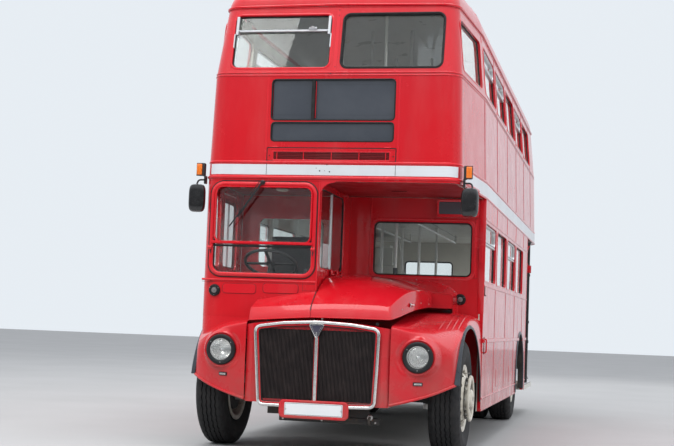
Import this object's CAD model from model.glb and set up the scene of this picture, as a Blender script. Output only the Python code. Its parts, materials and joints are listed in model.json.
import json
import math
import bpy
import bmesh
import numpy as np
from mathutils import Vector, Matrix

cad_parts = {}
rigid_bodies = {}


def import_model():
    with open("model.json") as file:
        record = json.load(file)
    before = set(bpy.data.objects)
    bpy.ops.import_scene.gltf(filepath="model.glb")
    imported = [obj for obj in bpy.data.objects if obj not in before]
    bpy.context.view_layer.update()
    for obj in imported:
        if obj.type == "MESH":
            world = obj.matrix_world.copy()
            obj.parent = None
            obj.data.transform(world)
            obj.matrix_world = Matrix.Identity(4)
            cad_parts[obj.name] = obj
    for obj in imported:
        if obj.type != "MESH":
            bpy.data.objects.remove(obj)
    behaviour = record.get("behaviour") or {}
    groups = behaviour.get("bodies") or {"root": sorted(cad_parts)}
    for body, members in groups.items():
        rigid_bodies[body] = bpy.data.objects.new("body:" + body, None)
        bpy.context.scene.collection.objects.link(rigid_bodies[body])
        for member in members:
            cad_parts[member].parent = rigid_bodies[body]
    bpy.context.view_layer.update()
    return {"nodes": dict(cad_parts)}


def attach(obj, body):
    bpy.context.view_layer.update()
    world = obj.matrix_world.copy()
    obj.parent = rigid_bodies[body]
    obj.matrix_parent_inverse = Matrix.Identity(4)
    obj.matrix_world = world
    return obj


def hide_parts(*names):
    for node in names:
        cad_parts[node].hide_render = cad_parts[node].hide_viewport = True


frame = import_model()
NODES = frame["nodes"]
BODY = "body"
FA = -3.345          # front axle
RA = 1.785           # rear axle
BULK = -2.58         # saloon bulkhead
PLATF = 2.655        # front edge of the rear platform
RSPLIT = 3.885       # side panels end, rear panels start
CABF = -3.92         # cab front face
HUB = 0.51
rad = math.radians

# ------------------------------------------------------------------ camera
cam_data = bpy.data.cameras.new("Camera")
cam_data.sensor_fit = "HORIZONTAL"
cam_data.sensor_width = 36.0
cam_data.lens = 36.0 * 1317.3 / 674.0
cam_data.clip_end = 200.0
cam = bpy.data.objects.new("Camera", cam_data)
bpy.context.scene.collection.objects.link(cam)
fwd = Vector((-0.21796, 0.97303, 0.07552)).normalized()
right = fwd.cross(Vector((-0.02034, -0.08189, 0.99643))).normalized()
up = right.cross(fwd)
cam.matrix_world = Matrix(((right.x, up.x, -fwd.x, 2.56), (right.y, up.y, -fwd.y, -14.996),
                           (right.z, up.z, -fwd.z, 1.129), (0, 0, 0, 1)))
bpy.context.scene.camera = cam


# ------------------------------------------------------------------ node graphs
class Graph:
    """One material and short calls for its nodes."""

    def __init__(self, name):
        self.mat = bpy.data.materials.new(name)
        self.mat.use_nodes = True
        self.t = self.mat.node_tree
        self.t.nodes.clear()
        self.out = self.t.nodes.new("ShaderNodeOutputMaterial")
        self.obj = self.node("ShaderNodeTexCoord").outputs["Object"]

    def put(self, socket, v):
        if isinstance(v, bpy.types.NodeSocket):
            self.t.links.new(v, socket)
        elif isinstance(v, (tuple, list)) and len(v) == 3 and len(socket.default_value) == 4:
            socket.default_value = (*v, 1.0)
        else:
            socket.default_value = v

    def node(self, kind, inputs=None, **props):
        n = self.t.nodes.new(kind)
        for k, v in props.items():
            setattr(n, k, v)
        for k, v in (inputs or {}).items():
            self.put(n.inputs[k], v)
        return n

    def math(self, op, a, b=0.0, c=0.0, clamp=False):
        n = self.node("ShaderNodeMath", {0: a, 1: b, 2: c}, operation=op)
        n.use_clamp = clamp
        return n.outputs[0]

    def mix(self, f, a, b, blend="MIX"):
        n = self.node("ShaderNodeMix", data_type="RGBA", blend_type=blend)
        self.put(n.inputs[0], f)
        self.put(n.inputs[6], a)
        self.put(n.inputs[7], b)
        return n.outputs[2]

    def mixf(self, f, a, b):
        n = self.node("ShaderNodeMix", data_type="FLOAT")
        self.put(n.inputs[0], f)
        self.put(n.inputs[2], a)
        self.put(n.inputs[3], b)
        return n.outputs[0]

    def scaled(self, sx, sy, sz, vec=None, loc=(0, 0, 0)):
        return self.node("ShaderNodeMapping", {"Vector": self.obj if vec is None else vec, "Scale": (sx, sy, sz),
                                               "Location": loc}).outputs[0]

    def noise(self, scale, detail=3.0, rough=0.5, vec=None, distortion=0.0):
        return self.node("ShaderNodeTexNoise", {"Vector": self.obj if vec is None else vec, "Scale": scale,
                                                "Detail": detail, "Roughness": rough,
                                                "Distortion": distortion}).outputs["Fac"]

    def span(self, f, a, b, lo=0.0, hi=1.0):
        """f from a to b becomes lo to hi, clamped."""
        n = self.node("ShaderNodeMapRange", {"Value": f, "From Min": a, "From Max": b, "To Min": lo, "To Max": hi})
        n.clamp = True
        return n.outputs[0]

    def xyz(self, vec=None):
        n = self.node("ShaderNodeSeparateXYZ", {0: self.obj if vec is None else vec})
        return n.outputs[0], n.outputs[1], n.outputs[2]

    def normal(self):
        return self.xyz(self.node("ShaderNodeNewGeometry").outputs["True Normal"])

    def bump(self, height, strength, distance, chain=None):
        n = self.node("ShaderNodeBump", {"Height": height, "Strength": strength, "Distance": distance})
        if chain is not None:
            self.t.links.new(chain, n.inputs["Normal"])
        return n.outputs[0]

    def shade(self, colour, rough, normal=None, metallic=0.0, coat=0.0, coat_rough=0.05, spec=0.5, sheen=0.0,
              transmission=0.0, ior=1.5, coat_normal=True):
        n = self.node("ShaderNodeBsdfPrincipled")
        self.put(n.inputs["Base Color"], colour)
        self.put(n.inputs["Roughness"], rough)
        n.inputs["Metallic"].default_value = metallic
        n.inputs["Coat Weight"].default_value = coat
        n.inputs["Coat Roughness"].default_value = coat_rough
        n.inputs["Specular IOR Level"].default_value = spec
        n.inputs["Sheen Weight"].default_value = sheen
        n.inputs["Transmission Weight"].default_value = transmission
        n.inputs["IOR"].default_value = ior
        if normal is not None:
            self.t.links.new(normal, n.inputs["Normal"])
            if coat_normal and coat > 0:
                self.t.links.new(normal, n.inputs["Coat Normal"])
        self.t.links.new(n.outputs[0], self.out.inputs["Surface"])
        return self.mat

    def inside(self):
        """1 on the inner faces of the body walls, 0 on the outer skin."""
        x, y, z = self.xyz()
        z1 = self.span(z, 2.35, 3.285)
        z2 = self.span(z, 3.285, 3.927)
        hw = self.math("SUBTRACT", self.math("SUBTRACT", 1.219, self.math("MULTIPLY", z1, 0.031)),
                       self.math("MULTIPLY", z2, 0.059))
        yf = self.math("ADD", self.math("ADD", -3.92, self.math("MULTIPLY", z1, 0.005)),
                       self.math("MULTIPLY", z2, 0.135))
        yr = self.math("SUBTRACT", self.math("SUBTRACT", 4.205, self.math("MULTIPLY", z1, 0.010)),
                       self.math("MULTIPLY", z2, 0.060))
        taper = self.span(y, -2.58, -3.92)
        hx = self.math("MULTIPLY", hw, self.math("SUBTRACT", 1.0, self.math("MULTIPLY", taper, 0.073)))
        # rounded box distance, front corners 0.15 and rear corners 0.30
        r = self.span(y, -0.1, 0.1, 0.15, 0.30)
        qx = self.math("SUBTRACT", self.math("ABSOLUTE", x), self.math("SUBTRACT", hx, r))
        qf = self.math("SUBTRACT", self.math("ADD", yf, r), y)
        qr = self.math("SUBTRACT", y, self.math("SUBTRACT", yr, r))
        qy = self.math("MAXIMUM", qf, qr)
        px, py = self.math("MAXIMUM", qx, 0.0), self.math("MAXIMUM", qy, 0.0)
        d = self.math("SQRT", self.math("ADD", self.math("MULTIPLY", px, px), self.math("MULTIPLY", py, py)))
        d = self.math("ADD", d, self.math("MINIMUM", self.math("MAXIMUM", qx, qy), 0.0))
        d = self.math("SUBTRACT", r, d)
        return self.span(d, 0.0335, 0.0345)


RED = (0.560, 0.0058, 0.0125)
RED_FADED = (0.500, 0.0100, 0.0190)
CREAM = (0.62, 0.60, 0.52)


def paint(name, base, faded, dirt=0.6, inner=None, ceiling=None, rough=0.22, coat=0.6, grime=(0.16, 0.10, 0.075),
          wave=1.0):
    """Brushed-on coach paint: slow fading, wiped streaks, road dust low down, wavy sheet metal, fine orange peel."""
    g = Graph(name)
    x, y, z = g.xyz()
    slow = g.noise(0.9, 2.0, 0.55)
    streak = g.noise(1.0, 4.0, 0.6, g.scaled(7.0, 7.0, 0.55))
    colour = g.mix(g.span(slow, 0.35, 0.7, 0.0, 0.75), base, faded)
    colour = g.mix(g.span(streak, 0.52, 0.78, 0.0, 0.16), colour, tuple(min(1.0, c * 0.55) for c in base))
    spots = g.noise(95.0, 2.0, 0.7)
    colour = g.mix(g.span(spots, 0.72, 0.80, 0.0, 0.22), colour, tuple(min(1.0, c * 1.25 + 0.03) for c in base))
    low = g.span(z, 1.15, 0.30)
    cloud = g.noise(3.4, 6.0, 0.62)
    dust = g.math("MULTIPLY", low, g.span(cloud, 0.38, 0.72, 0.0, dirt))
    colour = g.mix(dust, colour, grime)
    film = g.math("MULTIPLY", g.span(g.noise(1.7, 5.0, 0.6, g.scaled(2.2, 2.2, 0.4)), 0.5, 0.75), 0.07 * dirt)
    colour = g.mix(film, colour, (0.45, 0.40, 0.36))
    if inner is not None:
        mask = g.inside()
        worn = g.mix(g.span(g.noise(6.0, 4.0), 0.45, 0.75, 0.0, 0.35), inner, tuple(c * 0.78 for c in inner))
        colour = g.mix(mask, colour, worn)
    if ceiling is not None:
        nx, ny, nz = g.normal()
        worn = g.mix(g.span(g.noise(5.0, 4.0), 0.45, 0.75, 0.0, 0.3), ceiling, tuple(c * 0.82 for c in ceiling))
        colour = g.mix(g.span(nz, 0.02, -0.06), colour, worn)
    r = g.math("ADD", g.span(cloud, 0.3, 0.8, rough - 0.05, rough + 0.12), g.math("MULTIPLY", dust, 0.5))
    n = g.bump(g.noise(1.15, 2.0, 0.5, g.scaled(1.0, 1.0, 0.8)), 0.35 * wave, 0.030)
    n = g.bump(g.noise(4.6, 2.0, 0.5), 0.22 * wave, 0.006, n)
    n = g.bump(g.noise(260.0, 1.0, 0.5), 0.05, 0.0006, n)
    return g.shade(colour, r, n, coat=coat, coat_rough=0.045, spec=0.28)


def enamel(name, base, worn, rough=0.4, coat=0.2, scale=14.0, amount=0.5, bump=0.15, metallic=0.0, chips=None,
           spec=0.5, fine=420.0):
    """Painted or moulded part: mottled colour, dull patches, a fine surface and, where asked, chips to another colour."""
    g = Graph(name)
    cloud = g.noise(scale, 5.0, 0.6)
    colour = g.mix(g.span(cloud, 0.40, 0.72, 0.0, amount), base, worn)
    fleck = g.noise(scale * 9.0, 3.0, 0.65)
    colour = g.mix(g.span(fleck, 0.66, 0.78, 0.0, 0.30), colour, tuple(c * 0.6 for c in base))
    if chips is not None:
        chip = g.noise(scale * 3.1, 6.0, 0.7)
        colour = g.mix(g.span(chip, 0.64, 0.67), colour, chips)
    r = g.span(cloud, 0.25, 0.8, max(0.03, rough - 0.10), min(1.0, rough + 0.16))
    n = g.bump(cloud, bump, 0.003)
    n = g.bump(g.noise(fine, 2.0, 0.5), 0.10, 0.0005, n)
    return g.shade(colour, r, n, coat=coat, metallic=metallic, spec=spec)


def bright(name, base, rough=0.12, tarnish=(0.30, 0.26, 0.22), brushed=False, amount=0.35):
    """Plated or bare metal with tarnish spots and fine scratches."""
    g = Graph(name)
    cloud = g.noise(18.0, 6.0, 0.65)
    colour = g.mix(g.span(cloud, 0.5, 0.8, 0.0, amount), base, tarnish)
    pit = g.noise(240.0, 3.0, 0.7)
    colour = g.mix(g.span(pit, 0.68, 0.76, 0.0, 0.5), colour, tarnish)
    r = g.span(cloud, 0.3, 0.8, rough, rough + 0.22)
    line = g.noise(1.0, 2.0, 0.6, g.scaled(30.0, 30.0, 700.0) if brushed else g.scaled(120.0, 120.0, 120.0))
    n = g.bump(line, 0.10 if brushed else 0.03, 0.0006)
    return g.shade(colour, r, n, metallic=1.0)


def clear(name, tint, rough=0.0, dust=0.03, shadow=0.82):
    """Window glass: clear, faintly tinted, a little road film, and lamps shine through it."""
    g = Graph(name)
    film = g.noise(5.0, 6.0, 0.6)
    colour = g.mix(g.span(film, 0.45, 0.75, 0.0, 0.5), tint, tuple(c * 0.92 for c in tint))
    n = g.bump(g.noise(1.6, 1.0, 0.5), 0.05, 0.004)
    bs = g.node("ShaderNodeBsdfPrincipled")
    g.put(bs.inputs["Base Color"], colour)
    g.put(bs.inputs["Roughness"], g.span(film, 0.4, 0.8, rough, rough + dust))
    bs.inputs["Transmission Weight"].default_value = 1.0
    bs.inputs["IOR"].default_value = 1.45
    g.t.links.new(n, bs.inputs["Normal"])
    tr = g.node("ShaderNodeBsdfTransparent", {"Color": (shadow, shadow, shadow)})
    lp = g.node("ShaderNodeLightPath")
    ms = g.node("ShaderNodeMixShader", {0: lp.outputs["Is Shadow Ray"], 1: bs.outputs[0], 2: tr.outputs[0]})
    g.t.links.new(ms.outputs[0], g.out.inputs["Surface"])
    return g.mat


def rubber(name, base=(0.012, 0.012, 0.013), dusty=(0.07, 0.065, 0.06), amount=0.4, rough=0.62):
    g = Graph(name)
    cloud = g.noise(11.0, 6.0, 0.65)
    colour = g.mix(g.span(cloud, 0.42, 0.8, 0.0, amount), base, dusty)
    n = g.bump(g.noise(320.0, 3.0, 0.6), 0.25, 0.0006)
    n = g.bump(cloud, 0.1, 0.002, n)
    return g.shade(colour, g.span(cloud, 0.3, 0.8, rough - 0.1, rough + 0.2), n, spec=0.35)


def tyre_rubber(name):
    g = Graph(name)
    x, y, z = g.xyz()
    cloud = g.noise(9.0, 6.0, 0.65)
    colour = g.mix(g.span(cloud, 0.4, 0.75, 0.0, 0.6), (0.014, 0.014, 0.015), (0.045, 0.042, 0.040))
    scuff = g.noise(1.0, 4.0, 0.6, g.scaled(60.0, 6.0, 6.0))
    colour = g.mix(g.span(scuff, 0.6, 0.8, 0.0, 0.45), colour, (0.10, 0.095, 0.09))
    n = g.bump(g.noise(210.0, 3.0, 0.65), 0.3, 0.0009)
    n = g.bump(g.noise(28.0, 3.0, 0.6), 0.15, 0.002, n)
    return g.shade(colour, g.span(cloud, 0.3, 0.8, 0.62, 0.85), n, spec=0.32)


def moquette(name, a, b, c):
    """Cut-pile seat cloth: a small two-way check with a darker line, pile noise and sheen."""
    g = Graph(name)
    x, y, z = g.xyz()
    s = 46.0

    def wave(v, k, ph=0.0):
        return g.math("SINE", g.math("ADD", g.math("MULTIPLY", v, k), ph))
    across = g.math("ADD", wave(x, 2 * math.pi * s / 4.0), wave(g.math("ADD", y, z), 2 * math.pi * s / 4.0))
    colour = g.mix(g.span(across, -0.2, 0.2), a, b)
    line = g.math("MAXIMUM", wave(x, 2 * math.pi * s / 12.0, 0.8), wave(g.math("ADD", y, z), 2 * math.pi * s / 12.0, 0.3))
    colour = g.mix(g.span(line, 0.965, 0.985, 0.0, 0.8), colour, c)
    pile = g.noise(900.0, 2.0, 0.6)
    colour = g.mix(g.span(pile, 0.3, 0.8, 0.0, 0.35), colour, tuple(v * 0.5 for v in a))
    wear = g.noise(7.0, 4.0, 0.6)
    colour = g.mix(g.span(wear, 0.55, 0.8, 0.0, 0.25), colour, (0.20, 0.19, 0.19))
    n = g.bump(pile, 0.4, 0.0012)
    n = g.bump(across, 0.06, 0.0015, n)
    return g.shade(colour, g.span(wear, 0.3, 0.8, 0.8, 0.95), n, sheen=0.5, spec=0.25)


def leathercloth(name, base):
    g = Graph(name)
    cells = g.node("ShaderNodeTexVoronoi", {"Vector": g.obj, "Scale": 260.0})
    cloud = g.noise(8.0, 5.0, 0.6)
    colour = g.mix(g.span(cloud, 0.4, 0.75, 0.0, 0.5), base, tuple(v * 0.6 + 0.01 for v in base))
    n = g.bump(cells.outputs["Distance"], 0.25, 0.0008)
    return g.shade(colour, g.span(cloud, 0.3, 0.8, 0.38, 0.6), n, spec=0.4)


def lino(name, base, worn, under, canopy):
    """Floor cover on top, painted panels on the underside, body colour under the canopy at the nose."""
    g = Graph(name)
    x, y, z = g.xyz()
    nx, ny, nz = g.normal()
    cloud = g.noise(4.0, 6.0, 0.6)
    colour = g.mix(g.span(cloud, 0.4, 0.7, 0.0, 0.6), base, worn)
    fleck = g.noise(300.0, 2.0, 0.6)
    colour = g.mix(g.span(fleck, 0.6, 0.7, 0.0, 0.4), colour, tuple(c * 1.8 for c in base))
    below = g.mix(g.span(cloud, 0.4, 0.75, 0.0, 0.4), under, tuple(c * 0.8 for c in under))
    below = g.mix(g.span(y, -2.56, -2.60), below, g.mix(g.span(cloud, 0.4, 0.7, 0.0, 0.5), canopy,
                                                          tuple(c * 0.7 for c in canopy)))
    colour = g.mix(g.span(nz, 0.3, 0.1), colour, below)
    n = g.bump(g.noise(40.0, 3.0, 0.6), 0.12, 0.002)
    n = g.bump(fleck, 0.06, 0.0005, n)
    return g.shade(colour, g.span(cloud, 0.3, 0.8, 0.30, 0.6), n, coat=0.1)


def lens(name, base, rough=0.15, emit=0.0):
    """Moulded lamp lens with vertical flutes."""
    g = Graph(name)
    x, y, z = g.xyz()
    flute = g.math("SINE", g.math("MULTIPLY", x, 900.0))
    ring = g.math("SINE", g.math("MULTIPLY", z, 520.0))
    cloud = g.noise(30.0, 4.0, 0.6)
    colour = g.mix(g.span(cloud, 0.4, 0.75, 0.0, 0.4), base, tuple(c * 0.72 for c in base))
    n = g.bump(flute, 0.35, 0.0014)
    n = g.bump(ring, 0.15, 0.001, n)
    return g.shade(colour, g.span(cloud, 0.3, 0.8, rough, rough + 0.15), n, coat=0.6, spec=0.6)


M = {}
M["red"] = paint("paint_red", RED, RED_FADED, inner=CREAM)
M["red_plain"] = paint("paint_red_panel", RED, RED_FADED)
M["red_trim"] = paint("paint_red_trim", (0.60, 0.0075, 0.016), (0.54, 0.012, 0.022), wave=0.25)
M["red_roof"] = paint("paint_red_roof", (0.52, 0.0062, 0.013), (0.46, 0.012, 0.02), dirt=0.7, ceiling=(0.70, 0.69, 0.62),
                      rough=0.3, coat=0.6)
M["red_dark"] = paint("paint_red_dark", (0.22, 0.0035, 0.008), (0.17, 0.005, 0.009), dirt=0.9, rough=0.4, coat=0.3)
M["white"] = paint("paint_white_band", (0.63, 0.66, 0.69), (0.54, 0.56, 0.58), dirt=0.5, rough=0.35, coat=0.35,
                   grime=(0.4, 0.36, 0.32), wave=0.6)
M["black"] = enamel("black_gloss", (0.014, 0.014, 0.015), (0.035, 0.034, 0.034), rough=0.30, coat=0.4)
M["plastic"] = enamel("black_plastic", (0.018, 0.019, 0.020), (0.05, 0.05, 0.05), rough=0.48, coat=0.0, bump=0.1)
M["chassis"] = enamel("chassis_black", (0.020, 0.019, 0.018), (0.085, 0.070, 0.055), rough=0.65, coat=0.0, scale=6.0,
                      amount=0.8, bump=0.35, chips=(0.10, 0.045, 0.02))
M["iron"] = enamel("engine_iron", (0.10, 0.105, 0.11), (0.05, 0.045, 0.04), rough=0.55, coat=0.0, scale=9.0, bump=0.4)
M["chrome"] = bright("chrome", (0.86, 0.85, 0.83), 0.09)
M["alu"] = bright("aluminium", (0.78, 0.79, 0.80), 0.28, tarnish=(0.5, 0.5, 0.5), brushed=True)
M["steel"] = bright("steel", (0.55, 0.54, 0.52), 0.32, tarnish=(0.22, 0.17, 0.13), amount=0.6)
M["glass"] = clear("window_glass", (0.93, 0.96, 0.95))
M["lampglass"] = clear("lamp_glass", (0.97, 0.98, 0.98), 0.02, 0.05)
M["rubber"] = rubber("window_rubber")
M["ring"] = rubber("lamp_rubber", (0.010, 0.011, 0.012), (0.045, 0.045, 0.045), 0.5, 0.5)
M["bead"] = rubber("arch_rubber", (0.024, 0.030, 0.038), (0.085, 0.098, 0.11), 0.5, 0.30)
M["tyre"] = tyre_rubber("tyre")
M["cream"] = enamel("wheel_cream", (0.60, 0.57, 0.49), (0.36, 0.31, 0.25), rough=0.42, coat=0.15, scale=16.0, amount=0.75,
                    bump=0.2, chips=(0.14, 0.07, 0.035))
M["wheel_dark"] = enamel("wheel_shadow_grime", (0.030, 0.028, 0.026), (0.12, 0.105, 0.09), rough=0.6, coat=0.0, scale=22.0,
                         bump=0.3)
M["amber"] = lens("indicator_orange", (0.86, 0.20, 0.012))
M["sidelens"] = lens("side_lens_clear", (0.16, 0.14, 0.14), 0.12)
M["mirrorshell"] = enamel("mirror_shell_black", (0.010, 0.010, 0.011), (0.022, 0.022, 0.022), rough=0.22, coat=0.5, bump=0.05)
M["redlens"] = lens("tail_lens", (0.50, 0.008, 0.006))
M["mirror"] = bright("mirror_glass", (0.92, 0.93, 0.94), 0.02, tarnish=(0.6, 0.6, 0.6), amount=0.1)
M["blind"] = enamel("blind_cloth", (0.020, 0.022, 0.027), (0.034, 0.037, 0.043), rough=0.55, coat=0.0, scale=5.0,
                    amount=0.5, bump=0.08)
M["blindglass"] = enamel("blind_behind_glass", (0.045, 0.052, 0.065), (0.070, 0.078, 0.092), rough=0.12, coat=1.0,
                        scale=3.0, amount=0.5, bump=0.04)
M["wiper"] = enamel("wiper_black", (0.010, 0.010, 0.011), (0.03, 0.03, 0.03), rough=0.4, coat=0.1)
M["core"] = rubber("radiator_core", (0.026, 0.019, 0.019), (0.085, 0.064, 0.060), 0.6, 0.7)
M["plate"] = enamel("blank_plate", (0.74, 0.76, 0.78), (0.60, 0.61, 0.62), rough=0.4, coat=0.3, scale=6.0, amount=0.3)
M["badge"] = enamel("badge_plain", (0.045, 0.045, 0.075), (0.10, 0.09, 0.10), rough=0.22, coat=0.6)
M["cloth"] = moquette("seat_moquette", (0.035, 0.055, 0.13), (0.10, 0.12, 0.19), (0.42, 0.30, 0.10))
M["hide"] = leathercloth("seat_leathercloth", (0.10, 0.018, 0.020))
M["hide_dark"] = leathercloth("seat_black_hide", (0.025, 0.025, 0.028))
M["pole"] = enamel("pole_white", (0.74, 0.73, 0.68), (0.55, 0.53, 0.47), rough=0.3, coat=0.4)
M["frame"] = enamel("seat_frame_grey", (0.34, 0.35, 0.36), (0.2, 0.2, 0.2), rough=0.35, coat=0.3)
M["floor"] = lino("floor_lino", (0.085, 0.055, 0.045), (0.13, 0.10, 0.085), (0.66, 0.65, 0.58), (0.30, 0.0045, 0.010))
M["slat"] = enamel("platform_slats", (0.16, 0.12, 0.085), (0.09, 0.07, 0.055), rough=0.6, coat=0.0, scale=10.0, bump=0.35)
M["dash"] = enamel("dash_grey", (0.055, 0.070, 0.085), (0.09, 0.10, 0.11), rough=0.5, coat=0.1)
M["lining"] = enamel("lining_cream", CREAM, (0.48, 0.46, 0.38), rough=0.4, coat=0.2, scale=6.0)
M["lining_red"] = enamel("lining_burgundy", (0.16, 0.022, 0.022), (0.11, 0.02, 0.02), rough=0.45, coat=0.15, scale=6.0)


def dress(node, *mats):
    ob = NODES[node]
    ob.data.materials.clear()
    for m in mats:
        ob.data.materials.append(m)


for names, key in (
        (("upper_side_nearside", "upper_side_offside", "upper_front_panel", "upper_rear_panel", "lower_side_nearside",
          "lower_side_offside", "lower_rear_panel"), "red"),
        (("front_bulkhead", "cab_shell", "cab_door", "radiator_surround", "number_plate"), "red_plain"),
        (("roof",), "red_roof"), (("chassis_frame", "front_axle", "rear_axle", "fuel_tank"), "chassis"),
        (("drive_shaft", "steering_knuckle_nearside", "steering_knuckle_offside"), "steel"),
        (("engine_block",), "iron"), (("lower_deck_floor", "upper_deck_floor"), "floor"),
        (("rear_platform", "staircase"), "floor"), (("lower_windows", "upper_windows", "cab_door_glass"), "glass"),
        (("grab_poles",), "pole"), (("platform_pole",), "black"), (("steering_wheel",), "plastic")):
    for n in names:
        dress(n, M[key])


# ------------------------------------------------------------------ mesh helpers
class Build:
    """Collects closed shells and turns them into one piece."""

    def __init__(self):
        self.v, self.f, self.m, self.n = [], [], [], 0

    def add(self, shape, mat=0):
        v, f = shape
        v = np.asarray(v, float).reshape(-1, 3)
        o = self.n
        self.v.append(v)
        self.f.extend(tuple(int(i) + o for i in q) for q in f)
        self.m.extend([mat] * len(f))
        self.n += len(v)
        return self

    def make(self, name, mats, body=BODY, angle=34, replaces=(), slot=None, outward=True):
        me = bpy.data.meshes.new(name)
        me.from_pydata(np.concatenate(self.v).tolist(), [], self.f)
        for m in mats:
            me.materials.append(M[m])
        me.polygons.foreach_set("material_index", self.m)
        if outward:
            bm = bmesh.new()
            bm.from_mesh(me)
            bmesh.ops.recalc_face_normals(bm, faces=bm.faces)
            bm.to_mesh(me)
            bm.free()
        return finish_mesh(me, name, body, angle, replaces)


def finish_mesh(me, name, body=BODY, angle=34, replaces=()):
    me.shade_smooth()
    me.set_sharp_from_angle(angle=rad(angle))
    ob = bpy.data.objects.new(name, me)
    bpy.context.scene.collection.objects.link(ob)
    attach(ob, body)
    if replaces:
        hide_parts(*replaces)
    return ob


def moved(shape, m):
    v, f = shape
    v = np.asarray(v, float).reshape(-1, 3)
    m = np.array(m)
    return v @ m[:3, :3].T + m[:3, 3], f


_boxes = {}


def box(c, s, r=0.0, seg=2, m=None):
    """Box by centre and size with rounded edges, turned by m about its own centre."""
    key = (tuple(round(a, 6) for a in s), round(r, 6), seg)
    if key not in _boxes:
        bm = bmesh.new()
        bmesh.ops.create_cube(bm, size=1.0)
        bmesh.ops.scale(bm, vec=s, verts=bm.verts)
        if r > 0:
            bmesh.ops.bevel(bm, geom=bm.edges, offset=min(r, 0.49 * min(s)), segments=seg, profile=0.5,
                            affect="EDGES")
        bm.verts.ensure_lookup_table()
        _boxes[key] = (np.array([v.co for v in bm.verts]), [[v.index for v in f.verts] for f in bm.faces])
        bm.free()
    v, f = _boxes[key]
    if m is not None:
        v = v @ np.array(m)[:3, :3].T
    return v + np.array(c), f


def lim(x0, x1, y0, y1, z0, z1, r=0.0, seg=2):
    return box(((x0 + x1) / 2, (y0 + y1) / 2, (z0 + z1) / 2), (abs(x1 - x0), abs(y1 - y0), abs(z1 - z0)), r, seg)


def sweep(P, A, B, prof, closed=False):
    """Closed outline prof, in the directions A and B, carried along the points P."""
    P, A, B, prof = (np.asarray(q, float) for q in (P, A, B, prof))
    V = P[:, None, :] + prof[None, :, 0:1] * A[:, None, :] + prof[None, :, 1:2] * B[:, None, :]
    n, m = V.shape[:2]
    faces = []
    for i in range(n if closed else n - 1):
        j = (i + 1) % n
        for k in range(m):
            q = (k + 1) % m
            faces.append((i * m + k, i * m + q, j * m + q, j * m + k))
    if not closed:
        faces.append(tuple(range(m))[::-1])
        faces.append(tuple(range((n - 1) * m, n * m)))
    return V.reshape(-1, 3), faces


def lathe(prof, centre, axis, seg=64, ref=None, closed=True):
    """Outline of (along the axis, radius) turned about an axis through centre. A closed outline makes a ring, and an
    open one starts and ends on the axis."""
    axis = np.array(axis, float)
    axis /= np.linalg.norm(axis)
    ref = np.array(ref if ref is not None else ((0, 0, 1) if abs(axis[2]) < 0.9 else (1, 0, 0)), float)
    u = ref - axis * (ref @ axis)
    u /= np.linalg.norm(u)
    w = np.cross(axis, u)
    prof = np.asarray(prof, float)
    t = np.linspace(0, 2 * math.pi, seg, endpoint=False)
    ring = np.cos(t)[:, None] * u + np.sin(t)[:, None] * w
    V = np.array(centre, float) + prof[None, :, 0:1] * axis + prof[None, :, 1:2] * ring[:, None, :]
    m = len(prof)
    faces = []
    top = m if closed else m - 1
    for i in range(seg):
        j = (i + 1) % seg
        for k in range(top):
            q = (k + 1) % m
            if prof[k, 1] < 1e-9 and prof[q, 1] < 1e-9:
                continue
            faces.append((i * m + k, j * m + k, j * m + q, i * m + q))
    V = V.reshape(-1, 3)
    # weld the points on the axis
    same = {}
    index = np.arange(len(V))
    for k in range(m):
        if prof[k, 1] < 1e-9:
            for i in range(seg):
                index[i * m + k] = k
    faces = [tuple(dict.fromkeys(int(index[i]) for i in q)) for q in faces]
    faces = [q for q in faces if len(q) > 2]
    used = sorted({i for q in faces for i in q})
    new = {o: i for i, o in enumerate(used)}
    return V[used], [tuple(new[i] for i in q) for q in faces]


def tube(points, r, seg=10, closed=False):
    """Round bar along points, with frames carried from one to the next. r may be one radius or one for each point."""
    P = np.asarray(points, float)
    n = len(P)
    rr = np.full(n, r, float) if np.isscalar(r) else np.asarray(r, float)
    T = np.zeros_like(P)
    for i in range(n):
        a, b = P[(i - 1) % n if closed else max(i - 1, 0)], P[(i + 1) % n if closed else min(i + 1, n - 1)]
        T[i] = (b - a) / max(np.linalg.norm(b - a), 1e-12)
    ref = np.array((0, 0, 1.0)) if abs(T[0][2]) < 0.9 else np.array((1.0, 0, 0))
    A = np.zeros_like(P)
    a = ref - T[0] * (ref @ T[0])
    for i in range(n):
        a = a - T[i] * (a @ T[i])
        a /= np.linalg.norm(a)
        A[i] = a
    B = np.cross(T, A)
    t = np.linspace(0, 2 * math.pi, seg, endpoint=False)
    V = P[:, None, :] + rr[:, None, None] * (np.cos(t)[None, :, None] * A[:, None, :] +
                                              np.sin(t)[None, :, None] * B[:, None, :])
    faces = []
    for i in range(n if closed else n - 1):
        j = (i + 1) % n
        for k in range(seg):
            q = (k + 1) % seg
            faces.append((i * seg + k, i * seg + q, j * seg + q, j * seg + k))
    if not closed:
        faces.append(tuple(range(seg))[::-1])
        faces.append(tuple(range((n - 1) * seg, n * seg)))
    return V.reshape(-1, 3), faces


def rounded(points, r, n=5, closed=False):
    """Polyline with its corners rounded to radius r."""
    P = [np.array(p, float) for p in points]
    out = []
    k = len(P)
    for i in range(k):
        if not closed and i in (0, k - 1):
            out.append(P[i])
            continue
        a, b, c = P[i - 1], P[i], P[(i + 1) % k]
        u, v = a - b, c - b
        lu, lv = np.linalg.norm(u), np.linalg.norm(v)
        u, v = u / lu, v / lv
        ang = math.acos(max(-1, min(1, u @ v)))
        if ang > math.pi - 0.02:
            out.append(b)
            continue
        d = min(r / math.tan(ang / 2), 0.48 * lu, 0.48 * lv)
        p0, p1 = b + u * d, b + v * d
        for t in np.linspace(0, 1, n + 1):
            out.append((1 - t) ** 2 * p0 + 2 * t * (1 - t) * b + t * t * p1)
    return np.array(out)


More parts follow.
